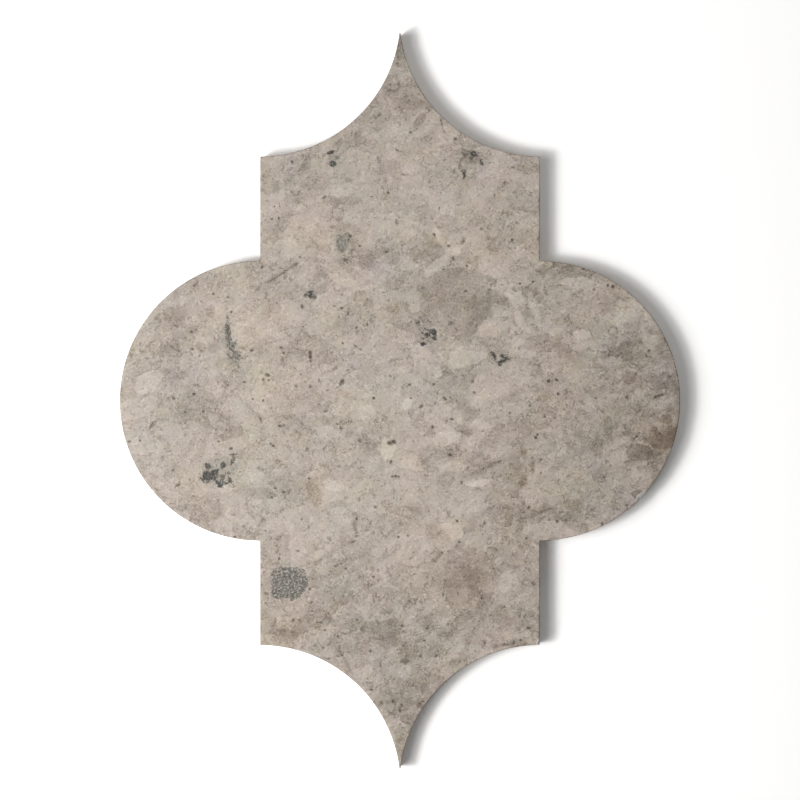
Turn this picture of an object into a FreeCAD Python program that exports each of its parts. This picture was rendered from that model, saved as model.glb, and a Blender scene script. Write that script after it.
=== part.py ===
# Arabesque tile, water-jet cut from one piece of limestone and honed on its face.
# The outline is a square body with a half-round lobe on each side and a pointed
# cusp at each end. Two hollows form each cusp, and a hollow takes the lobe of the
# tile laid next to it, so one radius and one joint width set every arc.
# Millimetres. The tile lies on its sawn back: the origin is the middle of the back,
# +Z leaves the honed face, +Y runs to one point and +X to one lobe.

import FreeCAD
import Part

import math
import os

# Driving dimensions
PATTERN_RADIUS = 58.25  # radius of every arc of the laying pattern, on the middle of the joint
JOINT = 0.5  # gap between two tiles as laid, half of it taken from each
FLANK_LENGTH = 43.35  # straight side between a lobe and a hollow, in the laying pattern
THICKNESS = 10.0  # calibrated thickness, back to honed face
ARRIS = 0.4  # width and depth of the 45 degree bevel round the honed face
NOTCH_RADIUS = 0.8  # radius the jet leaves in the four inside corners
TIP_WIDTH = 0.4  # width across each point where it ends

# Sizes that follow from them
HALF_BODY = PATTERN_RADIUS - JOINT / 2
LOBE_RADIUS = PATTERN_RADIUS - JOINT / 2
HOLLOW_RADIUS = PATTERN_RADIUS + JOINT / 2
HOLLOW_CENTRE_Y = 2 * PATTERN_RADIUS + FLANK_LENGTH
TIP_Y = HOLLOW_CENTRE_Y - math.sqrt(HOLLOW_RADIUS**2 - (PATTERN_RADIUS - TIP_WIDTH / 2) ** 2)

# The inside corner's round touches the flank and the lobe from outside
NOTCH_CENTRE_X = HALF_BODY + NOTCH_RADIUS
NOTCH_CENTRE_Y = math.sqrt(
    (LOBE_RADIUS + NOTCH_RADIUS) ** 2 - (NOTCH_CENTRE_X - PATTERN_RADIUS) ** 2
)

# How far a cutting tool runs past the faces it cuts
TOOL_OVERRUN = 2.0


def extruded(points, direction):
    """Solid swept along direction from the flat face through points."""
    corners = [FreeCAD.Vector(*point) for point in points]
    wire = Part.makePolygon(corners + corners[:1])
    return Part.Face(wire).extrude(FreeCAD.Vector(*direction))


def turned(profile, centre_x, centre_y, seam):
    """Solid turned about the upright line through the centre, from (radius, height) pairs.

    Its seam lies on the side that the sign of seam gives along X.
    """
    points = [FreeCAD.Vector(seam * radius, 0, height) for radius, height in profile]
    wire = Part.makePolygon(points + points[:1])
    solid = Part.Face(wire).revolve(FreeCAD.Vector(0, 0, 0), FreeCAD.Vector(0, 0, 1), 360)
    solid.translate(FreeCAD.Vector(centre_x, centre_y, 0))
    return solid


def body():
    """Middle of the tile, as long as the two points reach, with its flanks bevelled at the face."""
    shoulder = THICKNESS - ARRIS
    section = [
        (-HALF_BODY, -TIP_Y, 0),
        (HALF_BODY, -TIP_Y, 0),
        (HALF_BODY, -TIP_Y, shoulder),
        (HALF_BODY - ARRIS, -TIP_Y, THICKNESS),
        (ARRIS - HALF_BODY, -TIP_Y, THICKNESS),
        (-HALF_BODY, -TIP_Y, shoulder),
    ]
    return extruded(section, (0, 2 * TIP_Y, 0))


def lobe(side):
    """Round of stone that stands out from one flank as a lobe, with its rim bevelled at the face."""
    profile = [
        (0, 0),
        (LOBE_RADIUS, 0),
        (LOBE_RADIUS, THICKNESS - ARRIS),
        (LOBE_RADIUS - ARRIS, THICKNESS),
        (0, THICKNESS),
    ]
    return turned(profile, side * PATTERN_RADIUS, 0, -side)


def hollow_tool(radius, centre_x, centre_y, seam):
    """Round tool that cuts a hollow of that radius, flared to leave the bevel at the face."""
    profile = [
        (0, -TOOL_OVERRUN),
        (radius, -TOOL_OVERRUN),
        (radius, THICKNESS - ARRIS),
        (radius + ARRIS + TOOL_OVERRUN, THICKNESS + TOOL_OVERRUN),
        (0, THICKNESS + TOOL_OVERRUN),
    ]
    return turned(profile, centre_x, centre_y, seam)


def notch_web(side, end):
    """Stone that fills the bottom of one inside corner, hollowed to the jet's own radius.

    It ends on the line from the lobe's centre to the round's centre, where the two arcs touch.
    """
    inside = HALF_BODY - 2 * ARRIS
    touch_line_x = PATTERN_RADIUS + (NOTCH_CENTRE_X - PATTERN_RADIUS) * inside / NOTCH_CENTRE_Y
    corners = [
        (side * inside, end * inside, 0),
        (side * touch_line_x, end * inside, 0),
        (side * NOTCH_CENTRE_X, end * NOTCH_CENTRE_Y, 0),
        (side * inside, end * NOTCH_CENTRE_Y, 0),
    ]
    block = extruded(corners, (0, 0, THICKNESS))
    return block.cut(hollow_tool(NOTCH_RADIUS, side * NOTCH_CENTRE_X, end * NOTCH_CENTRE_Y, side))


def tile():
    """The whole tile as one solid."""
    stone = body().multiFuse([lobe(-1), lobe(1)])
    corners = [(side, end) for side in (-1, 1) for end in (-1, 1)]
    for side, end in corners:
        tool = hollow_tool(HOLLOW_RADIUS, side * PATTERN_RADIUS, end * HOLLOW_CENTRE_Y, side)
        stone = stone.cut(tool)
    for side, end in corners:
        stone = stone.fuse(notch_web(side, end))
    return stone.removeSplitter()


os.makedirs("parts", exist_ok=True)
finished = tile()
print("valid", finished.isValid(), "solids", len(finished.Solids), "faces", len(finished.Faces))
print("size", finished.BoundBox, "volume", round(finished.Volume, 1))
finished.exportStep("parts/tile.step")
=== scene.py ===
"""Dress of a limestone arabesque tile that was cut by water jet and honed on its face.

The tile lies on its sawn back with the honed face up. One closed mesh stands for it: the
face with its pores, the cut edge with its worn arris, and the sawn back. Lengths in the
classes are in millimetres, in the tile's own frame, and metres() turns them into the
scene's unit where a mesh, a lamp or the camera takes them.
"""

import logging
import math
from collections.abc import Sequence
from dataclasses import dataclass, field
from enum import Enum
from functools import partial, reduce

import bpy
import numpy as np
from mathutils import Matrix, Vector
from mathutils.geometry import delaunay_2d_cdt


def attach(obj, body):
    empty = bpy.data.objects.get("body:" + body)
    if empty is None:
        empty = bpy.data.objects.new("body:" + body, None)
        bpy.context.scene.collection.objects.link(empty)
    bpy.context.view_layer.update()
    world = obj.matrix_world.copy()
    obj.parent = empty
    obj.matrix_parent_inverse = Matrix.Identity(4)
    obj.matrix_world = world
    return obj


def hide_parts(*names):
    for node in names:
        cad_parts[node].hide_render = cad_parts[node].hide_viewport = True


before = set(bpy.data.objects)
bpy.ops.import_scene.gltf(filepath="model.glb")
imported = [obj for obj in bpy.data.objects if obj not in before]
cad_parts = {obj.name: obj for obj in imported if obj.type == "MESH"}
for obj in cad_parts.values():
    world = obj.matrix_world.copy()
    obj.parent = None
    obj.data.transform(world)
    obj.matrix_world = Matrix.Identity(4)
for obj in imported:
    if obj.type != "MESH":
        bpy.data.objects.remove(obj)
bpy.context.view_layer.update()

LOG = logging.getLogger("tile")
MM = 0.001
NODE = "tile"
PIECE = "honed_limestone_tile"

# Open pits: x, y, length, width, lean in degrees, and how dark the shade painted into the pit is
PITS = (
    (-23.8, 8, 2.3, 1.6, 60, 1), (-24.6, 7, 1.5, 1.4, 0, 0.6), (-3.9, 10.2, 1.1, 0.9, -30, 0.7),
    (-10.8, 1.1, 1.3, 1.2, 0, 1), (4.1, 6.7, 1, 1, 0, 0.9), (4.6, 1.1, 1, 0.8, 0, 0.8),
    (14.1, 6.9, 1.2, 1, -20, 0.9), (18.7, 0.9, 1.8, 1, -42, 0.95), (30.9, 3.4, 1.4, 0.9, -40, 0.85),
    (30.3, 7.8, 1.4, 1, 0, 0.5), (8.9, -2.4, 2, 1.1, 28, 0.85), (21.6, -7.6, 2, 1, -5, 0.8),
    (13.7, -10.9, 1.4, 1.2, -50, 0.85), (19.5, -8.4, 1.5, 0.7, 35, 0.6), (45.6, -5.1, 1, 1, 0, 0.75),
    (53.9, -2, 1.1, 1, 0, 0.8), (60.3, -6.6, 1.1, 0.9, -20, 0.75), (56.4, -15.3, 1.5, 1.2, -30, 1),
    (57.1, -14.1, 1.1, 0.9, 40, 0.85), (61.8, 8.2, 1.5, 1.4, 0, 1), (65.1, 8.6, 1.7, 1.1, -22, 0.95),
    (65.7, 2.8, 1.2, 1.4, 0, 1), (106.1, 1.6, 1.5, 1.1, 30, 1), (107.5, 2.1, 1.7, 1, 18, 0.95),
    (108.9, 2.5, 1.6, 0.9, 2, 0.95), (94.2, 1.5, 1.5, 1.2, 0, 0.8), (98.3, -14.8, 1.2, 1.1, 0, 0.95),
    (108, -13.6, 1.1, 0.8, 0, 0.85), (84, -51.1, 1.8, 1, 85, 0.9), (65.3, -50.1, 1.4, 1.1, 10, 0.9),
    (53.5, -44.3, 1.6, 1, 50, 0.95), (51.4, -46.2, 1.2, 0.8, 0, 0.75), (94.2, -43.3, 1.6, 0.9, 0, 0.8),
    (84.8, -31.6, 1.1, 1, 0, 0.75), (86.1, -25.2, 1.9, 1.2, -10, 0.5), (88.4, 47.4, 1.5, 1.4, 40, 1),
    (86.3, 47.9, 1.3, 1.1, 60, 0.9), (80.6, 46.1, 1.3, 1.1, 0, 0.7), (87.1, 19, 1.2, 1, 30, 0.8),
    (103.4, 20.8, 1.3, 1, 20, 0.9), (102.5, 18.5, 1, 1.1, 0, 0.6), (97.9, 11.1, 1.3, 0.9, -70, 0.85),
    (76.2, 54.6, 1.3, 0.9, -15, 0.9), (58.5, -30, 1, 0.9, 0, 0.75), (81.3, 1.1, 1.2, 0.9, 20, 0.65),
    (60.9, 44.3, 2.4, 0.8, -25, 0.6), (14.3, 68.9, 1.5, 1, 105, 1), (46.6, 66.7, 1.1, 1.1, 0, 1),
    (27.8, 55.9, 1.2, 0.9, -60, 0.9), (20.3, 64.2, 1.3, 1.1, -20, 0.85), (27.3, 45.5, 1.8, 0.9, 0, 0.9),
    (49.9, 48.6, 1.1, 1, 0, 0.9), (55.3, 49.4, 1.1, 1, 0, 0.85), (34, 71.4, 1.6, 1.2, 20, 0.6),
    (26.5, 66.2, 3, 1.3, 62, 0.6), (22.4, 58.8, 2, 1, -58, 0.6), (48.5, 73.7, 1.3, 0.9, -50, 0.65),
    (1.5, 93.8, 2.1, 0.6, -18, 0.8), (47.1, 96.7, 1.4, 0.7, -10, 0.8), (39.3, 85.3, 1.7, 0.8, 90, 0.65),
    (43.6, 90.7, 1.7, 1.1, 42, 0.6), (16.4, 79.9, 1.4, 0.7, 85, 0.75), (24.1, 81.2, 1.8, 0.6, 0, 0.6),
    (-44.8, 99.2, 1.1, 1, 0, 0.9), (-53, 75.4, 1.1, 0.9, 0, 0.9), (-50.2, 75.8, 1.2, 0.9, 80, 0.9),
    (-31.3, 84.5, 2.1, 0.9, 45, 0.9), (-11.8, 84.7, 1.6, 0.6, 8, 0.75), (-4.9, 86.2, 1.1, 0.9, 50, 0.75),
    (-5.3, 61.7, 1.1, 0.9, 20, 0.85), (-16.6, 64.2, 1, 1, 0, 0.9), (-41.4, 59.6, 1.1, 0.9, 0, 0.8),
    (-57, 55.5, 1.4, 0.9, 30, 0.75), (-1, 74.1, 2.3, 1.7, 80, 0.5), (-1.2, 104, 1.8, 0.8, -32, 0.9),
    (4.5, 111.3, 1.4, 1, 0, 0.8), (23, 108.6, 1.5, 1.2, 0, 0.85), (27.2, 109.4, 1.3, 0.9, -40, 0.6),
    (-0.8, 142.6, 1.7, 0.8, 85, 0.65), (-8.3, 118.5, 2.1, 0.8, 28, 0.45), (-69.9, 36.8, 1.1, 1, -40, 0.9),
    (-77.4, 44.3, 1.2, 1, -20, 0.85), (-71.3, 43, 1, 0.9, 0, 0.75), (-86.5, 28.7, 1.1, 0.9, 80, 0.85),
    (-85.9, 21.4, 1.3, 1, -10, 0.85), (-61.4, 20.8, 1.7, 0.9, 8, 0.85), (-64.3, 7.8, 1.5, 0.9, 0, 0.8),
    (-71.3, 6.5, 1.1, 0.8, 0, 0.75), (-85.4, 2.8, 1.3, 1.2, 0, 1), (-93.9, 1, 1.7, 1, -55, 0.9),
    (-56.7, 0.1, 1.2, 0.9, 85, 0.9), (-61, 0.7, 1, 0.9, 0, 0.75), (-56.6, 8.8, 1.3, 1.1, 80, 0.75),
    (-54.8, 10.7, 2.1, 1.3, -20, 0.95), (-54.3, 8.6, 1.2, 0.9, 0, 0.7), (-104.5, 17.7, 2.1, 0.9, 0, 0.4),
    (-84.6, 48.4, 2.9, 1, 40, 0.55), (-81.5, -4.5, 1.3, 1, -60, 0.85), (-89, -4.7, 1, 0.9, 0, 0.75),
    (-102.9, -9.9, 2.7, 0.9, 48, 0.6), (-112.2, -16.9, 1.4, 0.9, 0, 0.8), (-107.8, -16.5, 1.1, 1, 30, 0.85),
    (-92.1, -35, 2.3, 1, 24, 0.85), (-68.4, -56.5, 1.3, 0.9, 0, 0.9), (-57.7, -7.6, 2.3, 1, 108, 0.55),
    (-53.6, -17.8, 1, 0.9, 0, 0.85), (-52.5, -18.7, 1.4, 1, -40, 0.9), (-49.8, -10.5, 1.2, 1.1, 0, 0.9),
    (-49.2, 22.1, 1.2, 1, 0, 0.8), (-48.3, 19.8, 0.9, 0.9, 0, 0.85), (-37.1, 19.9, 2.1, 1.5, 90, 1),
    (-37.1, 18.3, 2.1, 1.4, 95, 1), (-37, 16.5, 1.3, 0.9, 90, 0.85), (-40.5, 39.1, 1.8, 1.2, -68, 0.9),
    (-24.1, 38.5, 1.5, 0.9, 15, 0.9), (-21.4, 36.2, 1.4, 0.8, 80, 0.9), (-27.2, 39.3, 1.3, 0.9, 0, 0.6),
    (-18, 30.4, 1.2, 0.8, 20, 0.8), (-13.5, 31.8, 2, 0.7, 95, 0.5), (-23.7, 23.9, 1.1, 0.9, -40, 0.85),
    (-18.3, 22.7, 1.7, 0.8, -38, 0.65), (-16.2, 21.4, 1.5, 0.8, 0, 0.65), (-21.6, 12.7, 1.4, 0.7, 20, 0.65),
    (-37.1, 5.9, 1.2, 1.1, 0, 0.75), (-33.4, 8.6, 1.4, 1, 90, 0.55), (-42.9, 6.1, 1.5, 1.1, -70, 0.65),
    (-30, 4.4, 1.7, 0.7, 15, 0.75), (-30.7, -4.3, 1.7, 0.9, 28, 0.65), (-25.9, -9.7, 1.3, 0.7, -25, 0.85),
    (-24.5, -11.3, 1.8, 0.9, -60, 0.95), (-37.7, -32.2, 1.2, 1, -20, 0.95),
    (-48.1, -37.9, 1.2, 1.1, 0, 0.9), (-51.6, -36.3, 1.5, 0.8, -12, 0.8), (-53.1, -40.1, 1.3, 1, -45, 0.85),
    (-16.7, -40.8, 2.2, 0.9, 82, 0.55), (-10, -44.1, 1.7, 1.3, 0, 0.6), (-0.6, -56.5, 1, 1, 0, 0.85),
    (-19.5, -58.6, 3, 0.7, 22, 0.75), (-42.3, -62.3, 1.1, 0.9, 0, 0.85), (-50, -65.5, 1.1, 1.1, 0, 0.8),
    (-29.2, -57.4, 2.1, 1, -25, 0.5), (-26.1, -68.4, 1.9, 1.2, 40, 0.55),
    (-22.3, -69.6, 1.1, 0.8, 10, 0.75), (-28.8, -70.8, 1.1, 0.9, -20, 0.65), (-17.9, -49, 1, 0.9, 0, 0.75),
    (-10.9, -73, 1.2, 0.9, 0, 0.8), (-56.4, -49.5, 2.5, 1.2, 12, 0.45), (-16.4, -16.8, 1.6, 1.3, -60, 0.6),
    (-4.2, -17.5, 2.2, 1.7, 0, 1), (-2.5, -17, 2, 1.6, 10, 1), (-3.7, -25.4, 1.6, 1, 72, 0.95),
    (-2.9, -31.4, 1.4, 1, 0, 0.65), (-1.7, -31.3, 1.3, 1.2, 0, 0.95), (-0.5, -31.5, 1.1, 0.9, 0, 0.85),
    (20.9, -22.5, 2, 1.3, -10, 1), (28.4, -27.7, 1.2, 0.9, 20, 0.6), (25.9, -33.7, 1.2, 0.9, 0, 0.6),
    (39.4, -30, 1.8, 0.8, 38, 0.45), (41.5, -25.1, 1.9, 0.9, 20, 0.65), (23.8, -49.9, 1.2, 1, 0, 0.85),
    (24.6, -58.6, 1.2, 1, 0, 0.85), (35.3, -50.7, 1.4, 1.2, -40, 0.55), (3.5, -55.9, 1.3, 1.2, 0, 0.55),
    (17.6, -63, 1, 0.9, 0, 0.8), (52.5, -57, 1.2, 0.8, 30, 0.65), (53.7, -70, 1.6, 0.9, 0, 0.5),
    (55.6, -75.8, 1.9, 1.5, 10, 0.5), (53.5, -94.3, 1.8, 1.1, -5, 0.95), (50.1, -99.3, 1.1, 1, 0, 0.85),
    (47.5, -100.3, 1.2, 1, 80, 0.65), (35.3, -100.5, 1.3, 1.1, 80, 0.85), (34, -82, 1.1, 1.1, 0, 0.75),
    (18, -80.4, 1.3, 0.8, 85, 0.75), (29, -80.5, 2, 0.6, 5, 0.65), (20.1, -92.6, 1.3, 0.8, 0, 0.7),
    (11.5, -94.5, 1.3, 0.9, 30, 0.75), (1, -93.2, 1.1, 0.9, 40, 0.75), (8.7, -105.9, 1.4, 1.2, 0, 0.75),
    (15.1, -105.9, 1.8, 0.8, 34, 1), (1.5, -101.7, 1.2, 1.1, 0, 0.65), (-15.1, -94.7, 2.7, 2.1, -20, 0.45),
    (-17.8, -90.9, 1, 0.9, 0, 0.75), (-25.7, -97.7, 1, 0.9, 0, 0.75), (-29, -100.7, 2.1, 1.1, 40, 0.65),
    (-31.7, -102.4, 1.2, 0.9, 0, 0.7), (-29.5, -107, 1.7, 0.8, 8, 0.75), (-12, -103.8, 1.6, 1.2, 0, 0.5),
    (-11.8, -119.9, 1.7, 0.9, -8, 0.9), (-7.5, -125.4, 1.7, 0.9, -45, 0.6),
    (-2.5, -124.6, 1.7, 1.4, 30, 0.45), (0, -128.7, 1.7, 1, -50, 0.95), (0.8, -126.2, 1.2, 1.1, 0, 0.65),
    (8.2, -125.5, 1.1, 0.8, 0, 0.85), (9.7, -124.7, 1.5, 0.7, 20, 0.75), (2.5, -133.3, 3.8, 0.7, -3, 0.5),
    (-44, -91, 1.6, 1.3, -30, 0.65), (-41.3, -91.2, 1.5, 0.9, 0, 0.55), (-55.2, -80, 2.1, 1, -10, 0.6),
    (-45, -82.7, 1.1, 0.8, 0, 0.9), (-36.5, -83.6, 1.6, 1, 50, 0.6), (-55.6, -83.9, 1.2, 0.9, 0, 0.65),
    (-9.7, -80.2, 1.5, 0.9, 80, 0.5), (-37.3, -78.1, 1.2, 0.9, 0, 0.6), (-20.5, 68.4, 1.5, 1.2, 0, 0.7),
    (-21.2, 66.6, 1.9, 1.1, 80, 0.5),
)

# Soft blotches: x, y, length, width, lean in degrees, and tone against the stone round them
BLOTCHES = (
    (32.5, 39, 13, 9, 60, -0.05), (18, 48, 14, 8, 20, -0.03), (80.5, 19, 21, 4, -4, -0.05),
    (-44.8, 97.8, 16, 8, 10, -0.03), (-43.6, 84.5, 8, 6, 20, -0.05), (-11.4, 57.4, 4.5, 6.5, 10, -0.03),
    (37, -67, 9, 4, -60, -0.05), (29.5, -73.8, 7, 3.4, 0, -0.03), (31.5, -79.4, 7, 4, -30, -0.07),
    (21.6, -73.1, 22, 10, 10, -0.03), (-3.5, -92, 4.4, 3, 0, -0.05), (-61.4, -1.8, 7, 7, 0, -0.07),
    (-45.6, -97.2, 15, 7, 10, -0.04), (5.4, -81.4, 12, 8, 20, -0.04), (2.1, -128.3, 11, 9, 0, -0.03),
    (0.8, -141.6, 13, 5, 90, -0.05), (-0.4, 146.7, 14, 4, 90, -0.08), (18.7, 104.8, 10, 4, 15, -0.05),
    (72.6, 54.2, 24, 5, -12, -0.05), (67.2, -46.2, 24, 9, 5, -0.04), (-16.6, -81.8, 14, 4, 38, -0.04),
    (-80.9, -49.5, 12, 5, -25, -0.03), (41.5, -49, 5, 3.5, 0, 0.05), (52, 71, 10, 12, 0, -0.03),
    (-51, 68, 5, 14, 0, -0.03), (-31, -20.5, 20, 4, -6, -0.03), (53, -55, 11, 9, 0, -0.03),
    (-15.8, 3.2, 11, 6, 0, 0.04), (-14.1, -4.7, 8, 6, 20, 0.06), (41.5, 31, 20, 10, 32, 0.045),
    (99.5, -29.2, 10, 7.5, 0, 0.06), (3.3, -1, 42, 15, 0, 0.03), (21.6, -99.3, 9, 8, 40, 0.03),
    (15.3, -109.6, 8, 7, 60, 0.04), (33.2, -57.8, 17, 6, 0, 0.05), (-43.6, 37.6, 12, 10, 0, 0.04),
    (-37.3, 67.9, 22, 14, 15, 0.03), (94.6, 36.8, 11, 8, -20, 0.06), (50.6, 84.5, 10, 9, 80, 0.03),
    (73, -16.7, 6, 3, -60, 0.06), (-67.6, 23.9, 8, 3.3, -75, 0.06), (-39.4, -28.7, 13, 8, 10, 0.04),
    (-2.9, -103.4, 4.4, 3.3, 0, 0.07), (3.7, -110.9, 3.3, 2.5, 90, 0.08), (41.1, 18.1, 3, 2.6, 0, 0.1),
    (109.3, -18.8, 1.2, 1, 0, 0.2), (-25.2, -10.7, 1.6, 1.1, -40, 0.2), (-64, 33, 10, 22, 0, 0.03),
    (-102, -11, 17, 12, 0, -0.06), (30, -95, 40, 15, -10, -0.045), (-32, -39, 18, 18, 0, -0.045),
    (86, 38, 44, 22, -20, 0.05), (-62, -10, 16, 40, 0, 0.03), (0, -42, 62, 26, 0, 0.035),
    (-93, 12, 26, 22, 0, -0.03), (-87, 33, 22, 18, 0, -0.02), (10, -120, 20, 24, 0, -0.03),
    (-6, -21, 9, 9, 0, 0.035), (-47, 33, 13, 18, 0, 0.05), (80, -40, 26, 13, 0, -0.045),
    (23, -102, 22, 13, 0, -0.03), (-83, -8, 26, 18, 0, -0.03), (42, -48, 16, 9, 0, -0.03),
    (3.5, -1.5, 7, 7, 0, 0.02),
)

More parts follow.
